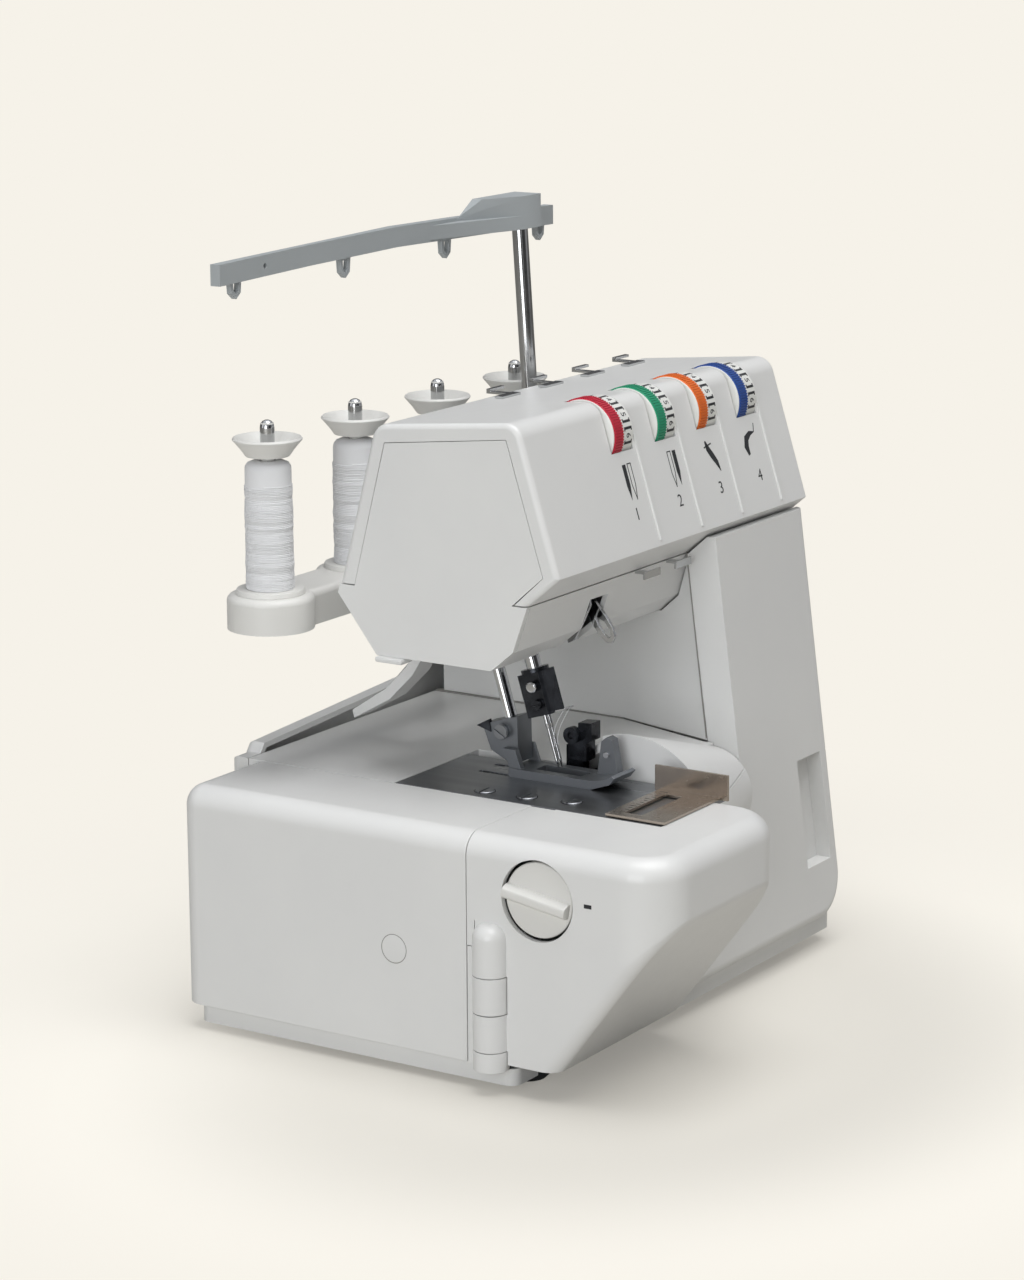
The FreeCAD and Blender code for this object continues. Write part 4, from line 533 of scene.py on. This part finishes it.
def rib_recipe():
    """Count ribs set round a wheel that turns about Z."""
    tree, given = recipe("grip_ribs", {"Count": "Int", "Radius": "Float", "Height": "Float", "Width": "Float",
                                       "Length": "Float", "Middle": "Float", "Place": "Vector",
                                       "Turn": "Rotation", "Finish": "Material"})
    circle = add(tree, "GeometryNodeMeshCircle", {"Vertices": given["Count"], "Radius": given["Radius"]})
    size = add(tree, "ShaderNodeCombineXYZ",
               {"X": given["Height"], "Y": given["Width"], "Z": given["Length"]})
    rib = add(tree, "GeometryNodeMeshCube", {"Size": size.outputs[0]})
    spot = add(tree, "GeometryNodeInputPosition")
    turn = add(tree, "FunctionNodeAlignRotationToVector", {"Vector": spot.outputs[0]}, axis="X")
    ribs = add(tree, "GeometryNodeInstanceOnPoints", {"Points": circle.outputs[0], "Instance": rib.outputs[0],
                                                      "Rotation": turn.outputs[0]})
    lift = add(tree, "ShaderNodeCombineXYZ", {"Z": given["Middle"]})
    raised = add(tree, "GeometryNodeTransform", {"Geometry": ribs.outputs[0], "Translation": lift.outputs[0]})
    return finish_recipe(tree, given, given["Geometry"], raised.outputs[0])


def winding_recipe():
    """A core wound with thread; the turns heap up unevenly along its height."""
    tree, given = recipe("thread_winding", {"Turns": "Float", "Radius": "Float", "Height": "Float",
                                            "Thread": "Float", "Heap": "Float", "Seed": "Float",
                                            "Place": "Vector", "Turn": "Rotation", "Finish": "Material"})
    path = add(tree, "GeometryNodeCurveSpiral",
               {"Resolution": 28, "Rotations": given["Turns"], "Start Radius": given["Radius"],
                "End Radius": given["Radius"], "Height": given["Height"]})
    round_thread = add(tree, "GeometryNodeCurvePrimitiveCircle", {"Resolution": 6, "Radius": given["Thread"]})
    wound = add(tree, "GeometryNodeCurveToMesh",
                {"Curve": path.outputs[0], "Profile Curve": round_thread.outputs[0],
                                                  "Fill Caps": True})
    both = add(tree, "GeometryNodeJoinGeometry", {"Geometry": wound.outputs[0]})
    tree.links.new(given["Geometry"], both.inputs[0])
    spot = add(tree, "GeometryNodeInputPosition")
    apart = add(tree, "ShaderNodeSeparateXYZ", {"Vector": spot.outputs[0]})
    heap = add(tree, "ShaderNodeMath", {0: apart.outputs["Z"], 1: 240.0, 2: given["Seed"]},
               operation="MULTIPLY_ADD")
    bands = add(tree, "ShaderNodeTexNoise", {"W": heap.outputs[0], "Scale": 0.62, "Detail": 2.0},
                noise_dimensions="1D")
    depth = add(tree, "ShaderNodeMath", {0: bands.outputs["Fac"], 1: -0.5}, operation="ADD")
    swell = add(tree, "ShaderNodeMath", {0: depth.outputs[0], 1: given["Heap"]}, operation="MULTIPLY")
    flat = add(tree, "ShaderNodeCombineXYZ", {"X": apart.outputs["X"], "Y": apart.outputs["Y"]})
    way = add(tree, "ShaderNodeVectorMath", {0: flat.outputs[0]}, operation="NORMALIZE")
    shift = add(tree, "ShaderNodeVectorMath", {0: way.outputs[0], "Scale": swell.outputs[0]},
                operation="SCALE")
    uneven = add(tree, "GeometryNodeSetPosition", {"Geometry": both.outputs[0], "Offset": shift.outputs[0]})
    return finish_recipe(tree, given, uneven.outputs[0])


def grow(piece, tree, **values):
    """Run a geometry-node tree on a piece with its named inputs set, and keep the result as a plain mesh."""
    modifier = piece.modifiers.new(tree.name, "NODES")
    modifier.node_group = tree
    for item in tree.interface.items_tree:
        if item.in_out == "INPUT" and item.name in values:
            modifier[item.identifier] = values[item.name]
    bake(piece)


def at_metres(x, y, z):
    """A drawing place in the frame's metres."""
    return TO_METRES @ Vector((x, y, z))


# ---------------------------------------------------------------- pieces

CASINGS = ("side_cover", "front_door", "bed_cover", "pillar_front_cover", "pillar_side_panel", "rear_casing",
           "right_side_cover", "head_top_cover", "lower_head_housing", "face_cover", "presser_lifter")
FINE_SEAMED = ("head_top_cover", "lower_head_housing", "face_cover", "bed_cover", "pillar_side_panel")
PLAIN = ("base_tray", "rubber_feet", "base_frame", "bar_bushes", "lower_looper", "upper_looper",
         "lower_knife", "feed_dog", "main_shaft", "drive_pulley", "motor", "motor_pulley", "drive_belt",
         "rocker_shaft", "connecting_rod", "tension_bracket", "tension_discs", "antenna_sleeve",
         "power_socket", "power_rocker", "needle_bar", "antenna_rod", "handwheel")


def face_spot(x, z):
    """A place on the head's front face: X along it, Y up it, Z out of it."""
    up = Vector((0, math.sin(FACE_LEAN), math.cos(FACE_LEAN)))
    out = Vector((0, -math.cos(FACE_LEAN), math.sin(FACE_LEAN)))
    here = Matrix((Vector((1, 0, 0)), up, out)).transposed().to_4x4()
    here.translation = (x, HEAD_FRONT - (HEAD_TOP - z) * math.tan(FACE_LEAN), z)
    return here


def arc(radius, count, start, sweep):
    """Points along part of a circle."""
    angles = [start + sweep * k / count for k in range(count)]
    return [(radius * math.cos(a), radius * math.sin(a)) for a in angles]


def spool_place(number):
    """Where a spool's pin stands on the stand."""
    return SPOOL_FIRST + SPOOL_PITCH * number, SPOOL_Y


class SergerTool(Operator):
    """Shared options of the building steps."""
    bl_options = {"REGISTER", "UNDO"}


class SERGER_OT_casings(SergerTool):
    """Finish the moulded casings and the parts that keep their drawn shape"""
    bl_idname = "serger.casings"
    bl_label = "Casings"

    def execute(self, context):
        edge = context.scene.serger_sizes.casing_edge * 1000
        for node in CASINGS:
            refined(node, casing_abs(), edge * (0.4 if node in FINE_SEAMED else 1.0))
        for node in PLAIN:
            dressed(node)
        # painted shade: grey strips and a grey wire stand in for the shade in the seams round the side panel,
        # along the bed and up its front edge
        wall = frame["nodes"]["pillar_side_panel"].data.vertices
        front = min((TO_METRES.inverted() @ corner.co).y for corner in wall)
        rear = front + 86 * math.tan(PILLAR_LEAN)
        joint_shade_strips = Work()
        joint_shade_strips.slab("XY", [(171.4, front + 0.2), (186.7, 62.0), (189.0, 62.0), (174.0, front + 0.2)],
                    101.56, 101.94)
        joint_shade_strips.slab("XY", [(186.1, 62.5), (186.1, 161.5), (190.0, 161.5), (189.0, 62.5)], 101.2, 101.9)
        joint_shade_strips.wire([(171.05, front + 0.3, 103.0), (171.05, (front + rear) / 2, 144.0),
                     (171.05, rear, 188.0)], 0.3)
        joint_shade_strips.done("side_panel_joints", seam_grey(), body_of("pillar_side_panel"), "grey_plastic")
        return {"FINISHED"}


class SERGER_OT_door(SergerTool):
    """Finish the hinge and the knob, and add the index mark, the round plug and the thread cutter"""
    bl_idname = "serger.door"
    bl_label = "Door fittings"

    def execute(self, context):
        refined("door_hinge_leaf", casing_abs(), 0.4)
        knob = Work(Matrix.Translation((-1.6, -12.5, 79.3)) @ Matrix.Rotation(math.radians(9), 4, "X"))
        knob.turned((0, 0, 0), (1, 0, 0),
                    [(0, 0), (14.8, 0), (15.2, 0.4), (15.2, 2.9), (14.9, 3.2), (5, 3.2), (5, 52), (0, 52)],
                    96)
        knob.slab("XZ",
                  [(0.2, -3.1), (0.2, 3.1), (-2.2, 2.9), (-4.3, 1.7), (-4.6, 0.9), (-4.6, -0.9), (-4.3, -1.7),
                         (-2.2, -2.9)], -14.2, 14.8)
        knob.done("stitch_length_knob_finished", warm_abs(), body_of("stitch_length_knob"),
                  "off_white_plastic", 0.35, ("stitch_length_knob",), segments=3)
        mark = Work()
        mark.slab("YZ", [(-37.3, 80.1), (-33.9, 80.1), (-33.9, 81.7), (-37.3, 81.7)], -3.05, -2.9)
        mark.done("stitch_index_mark", ink(), body_of("front_door"), "black_plastic")
        plug = Work()
        plug.turned(PLUG_MIDDLE, (-1, 0, 0), [(0, -0.4), (5.7, -0.4), (5.7, 0.16), (5.4, 0.3), (0, 0.34)], 48)
        plug.done("side_cover_plug", casing_abs(), body_of("side_cover"), "white_casing")
        # painted shade: a thin grey ring round the plug stands in for the shade in the gap round it
        plug_ring_shade = Work()
        plug_ring_shade.turned(PLUG_MIDDLE, (-1, 0, 0), [(5.75, 0), (6.1, 0), (6.1, 0.13), (5.75, 0.13)], 48,
                      ring=True)
        plug_ring_shade.done("side_cover_plug_gap", seam_grey(), body_of("side_cover"), "grey_plastic")
        tab = Work()
        tab.block((43.6, 81.8, 151.9), (52.0, 95.0, 154.25))
        tab.done("thread_cutter_tab", casing_abs(), body_of("face_cover"), "white_casing", 0.8, segments=3)
        return {"FINISHED"}


class SERGER_OT_dials(SergerTool):
    """Build the four tension dials: ribbed grips, number rings, figures and the channel markings"""
    bl_idname = "serger.dials"
    bl_label = "Tension dials"

    def execute(self, context):
        sizes, colours = context.scene.serger_sizes, context.scene.serger_colours
        ribs = rib_recipe()
        for number, name in enumerate(DIAL_NAMES):
            left, y, z = DIAL_FIRST + DIAL_PITCH * number, DIAL_Y, DIAL_Z
            body = body_of(f"dial_{name}")
            dye = dial_abs(name, tuple(getattr(colours, name)))
            grip = Work(Matrix.Translation(-ZERO))
            grip.turned((0, 0, 0), (0, 0, 1),
                        [(DIAL_BORE, 0.9), (15.0, 0.9), (15.3, 1.2), (15.3, 7.4), (14.9, 7.75),
                         (DIAL_BORE, 7.75)], 96, ring=True)
            grip = grip.done(f"dial_{name}_grip", dye, body, f"{name}_plastic", replaces=(f"dial_{name}",),
                             grown=(ribs, {"Count": sizes.rib_count, "Radius": 0.01525,
                                           "Height": 2 * sizes.rib_height,
                                           "Width": 0.00062, "Length": 0.0062, "Middle": 0.0043,
                                           "Place": at_metres(left, y, z), "Turn": (0.0, math.pi / 2, 0.0),
                                           "Finish": dye}))
            ring = Work()
            flange = [(DIAL_BORE, 0), (14.4, 0), (15.0, 0.4), (15.0, 0.85), (DIAL_BORE, 0.85)]
            numbered = [(DIAL_BORE, 7.8), (14.9, 7.8), (RING_RADIUS, 8.0), (RING_RADIUS, 15.3), (14.8, 15.6),
                        (DIAL_BORE, 15.6)]
            for outline in (flange, numbered):
                ring.turned((left, y, z), (1, 0, 0), outline, 96, ring=True)
            ring.done(f"dial_{name}_ring", ring_abs(), body, "off_white_plastic")
            print_ring(left, y, z, body, name)
        channel_marks()
        return {"FINISHED"}


def print_ring(left, y, z, body, name):
    """Figures 1 to 9 round a number ring, the middle three between brackets."""
    marks = Work()

    def wrapped(place, lift):
        angle = place.y / RING_RADIUS
        radius = RING_RADIUS + lift
        return Vector((left + place.x, y - radius * math.cos(angle), z + radius * math.sin(angle)))

    for figure in range(1, 10):
        turn = math.radians(20 - 34 * (figure - 5) + 14)
        flat = Work(Matrix.Translation((11.7, RING_RADIUS * turn, 0)) @ Matrix.Rotation(-math.pi / 2, 4, "Z"))
        flat.letter(str(figure), 4.6, INK_HALF)
        if figure in (4, 5, 6):
            for side in (-1, 1):
                bracket = [(3.6, -2.9), (3.6, 2.9), (1.9, 2.9), (1.9, 2.2), (2.5, 2.2), (2.5, -2.2),
                           (1.9, -2.2), (1.9, -2.9)]
                flat.slab("XY", [(side * u, v) for u, v in bracket], -INK_HALF, INK_HALF)
        flat.bend(lambda place: wrapped(place, place.z + 0.02))
        held = bpy.data.meshes.new("figure")
        flat.mesh.to_mesh(held)
        flat.mesh.free()
        marks.mesh.from_mesh(held)
        bpy.data.meshes.remove(held)
    marks.done(f"dial_{name}_figures", ink(), body, "black_plastic")


def channel_marks():
    """On the head below each dial, a small drawing of what it feeds, and a plain number."""
    marks = Work()
    for number, (x, figure_x) in enumerate(((115.7, 110.3), (151.8, 145.0), (183.6, 179.4), (216.3, 213.3))):
        marks.at = face_spot(figure_x + 4.5, 209.5)
        marks.letter(str(number + 1), 7.4, INK_HALF)
        marks.at = face_spot(x, 223)
        if number < 2:
            for side in (-2.0, 2.0):
                bold = (side < 0) == (number == 0)
                shape = [(side - 1.3, 7), (side + 1.3, 7), (side + 1.3, -2), (side, -8), (side - 1.3, -2)]
                if bold:
                    marks.slab("XY", shape, -INK_HALF, 0.06)
                else:
                    for a, b in zip(shape, shape[1:] + shape[:1]):
                        outline_stroke(marks, a, b, 0.22)
        elif number == 2:
            path = [(-3.6, 6.8), (-2.6, 3.4), (-0.4, 0.2), (2.0, -3.2), (3.6, -7.2)]
            widths = [0.5, 1.5, 1.6, 1.3, 0.15]
            brush(marks, path, widths)
            outline_stroke(marks, (-5.2, 4.2), (0.6, 5.2), 0.3)
        else:
            path = [(5.2, 4.8), (1.4, 4.6), (-2.2, 2.8), (-3.6, -0.8), (-2.6, -4.4)]
            brush(marks, path, [0.2, 1.1, 1.7, 1.8, 0.8])
            outline_stroke(marks, (5.2, 4.8), (6.4, 8.2), 0.25)
    marks.done("channel_marks", ink(), body_of("head_top_cover"), "black_plastic")


def outline_stroke(marks, a, b, half):
    """A thin printed line from a to b."""
    way = (Vector(b) - Vector(a)).normalized() * half
    side = Vector((-way.y, way.x))
    a, b = Vector(a) - way, Vector(b) + way
    marks.slab("XY", [tuple(a - side), tuple(b - side), tuple(b + side), tuple(a + side)],
               -INK_HALF, INK_HALF)


def brush(marks, path, widths):
    """A printed stroke whose half width changes along its path."""
    left, right = [], []
    for k, (u, v) in enumerate(path):
        ahead = Vector(path[min(k + 1, len(path) - 1)]) - Vector(path[max(k - 1, 0)])
        side = Vector((-ahead.y, ahead.x)).normalized() * widths[k]
        left.append((u + side.x, v + side.y))
        right.append((u - side.x, v - side.y))
    marks.slab("XY", left + right[::-1], -INK_HALF, INK_HALF)


class SERGER_OT_thread_side(SergerTool):
    """Build the spool stand's fittings, the wound spools and the guide bar"""
    bl_idname = "serger.thread_side"
    bl_label = "Spools and guide bar"

    def execute(self, context):
        sizes = context.scene.serger_sizes
        refined("spool_stand", warm_abs(), 0.5)
        refined("spool_pads", warm_abs(), 0.3)
        refined("spool_caps", warm_abs(), 0.25)
        refined("thread_guide_bar", bar_abs(), 0.7, segments=3)
        winding = winding_recipe()
        thread = sewing_thread()
        for number in range(4):
            x, y = spool_place(number)
            node = f"thread_spool_{number + 1}"
            core = Work(Matrix.Translation(-ZERO))
            core.turned((0, 0, 0), (0, 0, 1),
                        [(SPOOL_BORE, 3.2), (8.2, 3.2), (9.1, 3.9), (9.55, 5.4), (9.6, 8), (9.6, 49),
                         (9.3, 50.6), (8.3, 52.0), (6.2, 52.9), (SPOOL_BORE, 52.9)], 72, ring=True)
            core.done(f"{node}_wound", thread, body_of(node), "thread", replaces=(node,), smooth=60,
                      grown=(winding, {"Turns": 43.0 / (sizes.winding_pitch * 1000), "Radius": 0.0096,
                                       "Height": 0.043, "Thread": 0.00038, "Heap": 0.0011,
                                       "Seed": 7.3 * number,
                                       "Place": at_metres(x, y, SPOOL_FOOT), "Turn": (0.0, 0.0, 0.0),
                                       "Finish": thread}))
            neck = Work()
            neck.turned((x, y, SPOOL_FOOT), (0, 0, 1),
                        [(SPOOL_BORE, 0), (6.2, 0), (6.2, 3.4), (SPOOL_BORE, 3.4)], 48, ring=True)
            neck.done(f"{node}_neck", warm_abs(), body_of(node), "off_white_plastic", 0.2)
        tips = Work()
        for number in range(4):
            x, y = spool_place(number)
            tips.turned((x, y, 238.5), (0, 0, 1),
                        [(2.72, 0), (3.0, 0.1), (3.0, 8.4), (2.75, 9.9), (1.9, 11.1), (0.9, 11.6),
                         (0, 11.7)], 40)
        tips.done("spool_pin_tips", chrome(), body_of("spool_stand"), "chrome")
        return {"FINISHED"}


class SERGER_OT_needle_area(SergerTool):
    """Finish the needle clamp, presser, plate, knife and guides, and hang a strand at each needle"""
    bl_idname = "serger.needle_area"
    bl_label = "Needle area"

    def execute(self, context):
        refined("needle_clamp", black_oxide(), 0.3)
        refined("needles", chrome(), 0.0)
        refined("presser_bar", chrome(), 0.15)
        refined("presser_ankle", zinc_cast(), 0.4)
        refined("presser_foot", zinc_cast(), 0.35)
        refined("needle_plate", ground_steel(), 0.25)
        refined("needle_plate_screws", ground_steel(), 0.1)
        refined("upper_knife", black_oxide(), 0.3)
        refined("seam_guide", nickel(), 0.15)
        refined("thread_guides", chrome(), 0.15)
        refined("take_up_lever", chrome(), 0.3)
        compressed_spring()
        clamp = Work(leaning(*NEEDLE_BAR_FOOT))
        clamp.turned((-CLAMP_HALF - 2.15, -1.5, CLAMP_FOOT + 12.5), (-1, 0, 0),
                     [(0, -0.1), (2.4, -0.1), (2.4, 0.3), (1.9, 0.7), (0, 0.75)], 32)
        clamp.block((-3.6, -CLAMP_HALF - 5.5, CLAMP_FOOT + 0.2), (3.6, -CLAMP_HALF + 0.5, CLAMP_FOOT + 0.9))
        clamp.done("needle_clamp_fittings", chrome(), body_of("needle_clamp"), "chrome", 0.12)
        strands = Work(leaning(*NEEDLE_BAR_FOOT))
        for side in (-1, 1):
            strands.wire([(side * 2.4, -CLAMP_HALF - 5.2, CLAMP_FOOT + 1.1), (side * 2.3, -4.4, 10.5),
                          (side * NEEDLE_SPREAD, -1.3, 5.2), (side * NEEDLE_SPREAD, -0.9, 2.2)],
                         context.scene.serger_sizes.thread_radius * 1000)
        strands.done("needle_thread", sewing_thread(), body_of("needles"), "thread")
        head = Work()
        head.turned((80.35, 57.5, 119.5), (-1, 0, 0), [(0, -0.1), (3.3, -0.1), (3.3, 0.35), (0, 0.35)], 40)
        for start in (0.0, math.pi):
            half_disc = arc(3.1, 20, start + 0.16 + 0.6, math.pi - 0.32)
            head.slab("YZ", [(57.5 + u, 119.5 + v) for u, v in half_disc], 79.4, 80.1)
        head.done("ankle_screw", ground_steel(), body_of("presser_ankle"), "steel", 0.12)
        spur = Work()
        spur.slab("YZ", [(63.5, 118.2), (70.8, 120.2), (64.5, 123.6)], 81.9, 83.9)
        spur.done("ankle_release", black_oxide(), body_of("presser_ankle"), "black_steel", 0.2)
        pin = Work()
        pin.rod((89.1, 12.4, 113.6), (95.6, 12.4, 113.6), 1.35)
        pin.done("foot_pin", chrome(), body_of("presser_foot"), "chrome")
        # painted shade: thin dark rings in the blackened-steel colour round each plate screw stand in for the
        # shade in its countersink
        screw_gap_shade = Work()
        for x, y in ((54.5, 48.8), (55.7, 29.3), (58.8, 9.8)):
            screw_gap_shade.turned((x, y, 101.5), (0, 0, 1), [(4.1, -0.02), (4.6, -0.02), (4.6, 0.07), (4.1, 0.07)], 40,
                        ring=True)
        screw_gap_shade.done("needle_plate_countersinks", black_oxide(), body_of("needle_plate"), "black_steel")
        scale = Work()
        for tick in range(13):
            reach = 3.4 if tick % 4 == 0 else 2.0
            scale.block((50 + 3 * tick, -18.6, 102.98), (50.35 + 3 * tick, -18.6 + reach, 103.05))
        scale.done("seam_guide_scale", ink(), body_of("seam_guide"), "black_plastic")
        return {"FINISHED"}


def compressed_spring():
    """The presser spring: a finished copy with a mesh of its own."""
    spring = refined("presser_spring")
    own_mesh(spring)


# ---------------------------------------------------------------- stage

def paper_floor():
    """Seamless paper: it catches the real shadow near the machine, darkened further by a painted shadow, and
    is plain further out.
    """
    material = bpy.data.materials.new("seamless_paper")
    material.use_nodes = True
    tree = material.node_tree
    tree.nodes.clear()
    paper = linear(PAPER)
    spot = add(tree, "ShaderNodeTexCoord").outputs["Object"]
    far = add(tree, "ShaderNodeVectorMath", {0: spot}, operation="LENGTH")
    fade = add(tree, "ShaderNodeMapRange", {"Value": far.outputs["Value"], "From Min": 0.22, "From Max": 0.42,
                                            "To Min": 0.0, "To Max": 1.0}, interpolation_type="SMOOTHSTEP")
    lit = add(tree, "ShaderNodeBsdfDiffuse", {"Color": (*(c * 0.6 for c in paper), 1.0)})
    seen = add(tree, "ShaderNodeLightPath")
    # painted shadow: the camera-only glow is turned down in a soft ellipse round the machine's foot, so the
    # paper reads darker there
    under = add(tree, "ShaderNodeVectorMath", {0: spot, 1: (0.055, 0.06, 0.0)}, operation="ADD")
    spread = add(tree, "ShaderNodeVectorMath", {0: under.outputs[0], 1: (4.3, 5.4, 0.0)},
                 operation="MULTIPLY")
    reach = add(tree, "ShaderNodeVectorMath", {0: spread.outputs[0]}, operation="LENGTH")
    painted_shadow = add(tree, "ShaderNodeMapRange",
              {"Value": reach.outputs["Value"], "From Min": 0.55, "From Max": 1.15,
                                           "To Min": 0.26, "To Max": 0.49}, interpolation_type="SMOOTHSTEP")
    glow = add(tree, "ShaderNodeMath", {0: seen.outputs["Is Camera Ray"], 1: painted_shadow.outputs["Result"]},
               operation="MULTIPLY")
    lift = add(tree, "ShaderNodeEmission", {"Color": (*paper, 1.0), "Strength": glow.outputs[0]})
    near = add(tree, "ShaderNodeAddShader", {0: lit.outputs[0], 1: lift.outputs[0]})
    plain = add(tree, "ShaderNodeEmission", {"Color": (*paper, 1.0)})
    share = add(tree, "ShaderNodeMath", {0: fade.outputs["Result"], 1: seen.outputs["Is Camera Ray"]},
                operation="MULTIPLY")
    mixed = add(tree, "ShaderNodeMixShader",
                {"Fac": share.outputs[0], 1: near.outputs[0], 2: plain.outputs[0]})
    add(tree, "ShaderNodeOutputMaterial", {"Surface": mixed.outputs[0]})
    return material


def lamp(name, place, target, size, watts, colour=(1.0, 1.0, 1.0)):
    """A square softbox that faces its target."""
    light = bpy.data.lights.new(name, "AREA")
    light.shape = "SQUARE"
    light.size = size
    light.energy = watts
    light.color = colour
    holder = bpy.data.objects.new(name, light)
    bpy.context.scene.collection.objects.link(holder)
    holder.location = place
    holder.rotation_euler = (Vector(target) - Vector(place)).to_track_quat("-Z", "Y").to_euler()
    return holder


def backdrop():
    """A plain backdrop for the camera, a faint ambient light, and a room for polished metal to mirror."""
    world = bpy.data.worlds.new("backdrop")
    world.use_nodes = True
    tree = world.node_tree
    tree.nodes.clear()
    seen = add(tree, "ShaderNodeLightPath")
    # what polished metal mirrors: dark walls with a window to the rear left, a strip light in front and a
    # pale panel to the right, and a bright ceiling
    way = add(tree, "ShaderNodeTexCoord").outputs["Generated"]
    turn = add(tree, "ShaderNodeTexGradient", {"Vector": way}, gradient_type="RADIAL")
    grey = [(0.0, 0.10), (0.13, 0.05), (0.142, 0.9), (0.155, 0.05), (0.28, 0.06), (0.33, 0.4), (0.5, 0.34),
            (0.6, 0.08), (0.83, 0.10), (0.865, 1.0), (0.92, 1.0), (0.95, 0.07)]
    walls = add(tree, "ShaderNodeValToRGB", {"Fac": turn.outputs["Fac"]},
                stops=[(place, (tone, tone, tone * 1.03)) for place, tone in grey])
    rise = add(tree, "ShaderNodeSeparateXYZ", {"Vector": way})
    ceiling = add(tree, "ShaderNodeMapRange", {"Value": rise.outputs["Z"], "From Min": 0.35, "From Max": 0.8})
    seen_round = add(tree, "ShaderNodeMix", {"Factor": ceiling.outputs["Result"], 6: walls.outputs["Color"],
                                             7: (0.85, 0.87, 0.9, 1.0)}, data_type="RGBA")
    plain = add(tree, "ShaderNodeBackground", {"Color": (0.95, 0.97, 1.0, 1.0), "Strength": 0.2})
    mirrored = add(tree, "ShaderNodeBackground", {"Color": seen_round.outputs[2], "Strength": 1.0})
    around = add(tree, "ShaderNodeMixShader", {"Fac": seen.outputs["Is Glossy Ray"], 1: plain.outputs[0],
                                               2: mirrored.outputs[0]})
    behind = add(tree, "ShaderNodeBackground", {"Color": (*linear(PAPER), 1.0), "Strength": 1.0})
    mixed = add(tree, "ShaderNodeMixShader", {"Fac": seen.outputs["Is Camera Ray"], 1: around.outputs[0],
                                              2: behind.outputs[0]})
    add(tree, "ShaderNodeOutputWorld", {"Surface": mixed.outputs[0]})
    return world


FOCAL_MM, CAMERA_ROLL = 104.06, -0.35
CAMERA_PLACE = (-1.2897, -0.79925, 0.503)
CAMERA_WAY = (0.8190, 0.5278, -0.2250)


def view_camera():
    """The camera of the main view."""
    lens = bpy.data.cameras.new("view")
    lens.sensor_fit = "VERTICAL"
    lens.sensor_height = 36.0
    lens.lens = FOCAL_MM
    camera = bpy.data.objects.new("view", lens)
    bpy.context.scene.collection.objects.link(camera)
    forward = Vector(CAMERA_WAY).normalized()
    aim = forward.to_track_quat("-Z", "Y").to_matrix() @ Matrix.Rotation(math.radians(CAMERA_ROLL), 3, "Z")
    camera.matrix_world = Matrix.Translation(CAMERA_PLACE) @ aim.to_4x4()
    return camera


class SERGER_OT_stage(SergerTool):
    """Set the floor, lights, background and camera"""
    bl_idname = "serger.stage"
    bl_label = "Stage"

    def execute(self, context):
        scene = context.scene
        plane = bpy.data.meshes.new("floor")
        plane.from_pydata([(-6, -6, 0), (6, -6, 0), (6, 6, 0), (-6, 6, 0)], [], [(0, 1, 2, 3)])
        floor = bpy.data.objects.new("floor", plane)
        scene.collection.objects.link(floor)
        floor.location.z = CAD_BOX[0][2]
        plane.materials.append(paper_floor())
        key = lamp("key_softbox", (-2.5, -0.55, 0.62), (0, 0, 0.15), 1.5, 30, (0.96, 0.98, 1.0))
        top = lamp("top_softbox", (-0.15, -0.5, 2.45), (0, 0, 0.15), 1.8, 46)
        scene.world = backdrop()
        camera = view_camera()
        scene.camera = camera
        scene.view_settings.view_transform = "Standard"
        return {"FINISHED"}


STEPS = (SERGER_OT_casings, SERGER_OT_door, SERGER_OT_dials, SERGER_OT_thread_side, SERGER_OT_needle_area,
         SERGER_OT_stage)


class SERGER_PT_panel(Panel):
    """Building steps of the serger, in order"""
    bl_label = "Serger"
    bl_idname = "SERGER_PT_panel"
    bl_space_type = "VIEW_3D"
    bl_region_type = "UI"
    bl_category = "Serger"

    def draw(self, context):
        for group in (context.scene.serger_sizes, context.scene.serger_colours):
            for name in group.__annotations__:
                self.layout.prop(group, name)
        for step in STEPS:
            self.layout.operator(step.bl_idname)


CLASSES = (SergerSizes, SergerColours, *STEPS, SERGER_PT_panel)


def register():
    """Add the classes and the scene's settings."""
    for item in CLASSES:
        bpy.utils.register_class(item)
    bpy.types.Scene.serger_sizes = PointerProperty(type=SergerSizes)
    bpy.types.Scene.serger_colours = PointerProperty(type=SergerColours)


def unregister():
    """Take them away again."""
    del bpy.types.Scene.serger_colours
    del bpy.types.Scene.serger_sizes
    for item in reversed(CLASSES):
        bpy.utils.unregister_class(item)


def main():
    """Build everything in order."""
    register()
    bpy.ops.serger.casings()
    bpy.ops.serger.door()
    bpy.ops.serger.dials()
    bpy.ops.serger.thread_side()
    bpy.ops.serger.needle_area()
    bpy.ops.serger.stage()


if __name__ == "__main__":
    main()
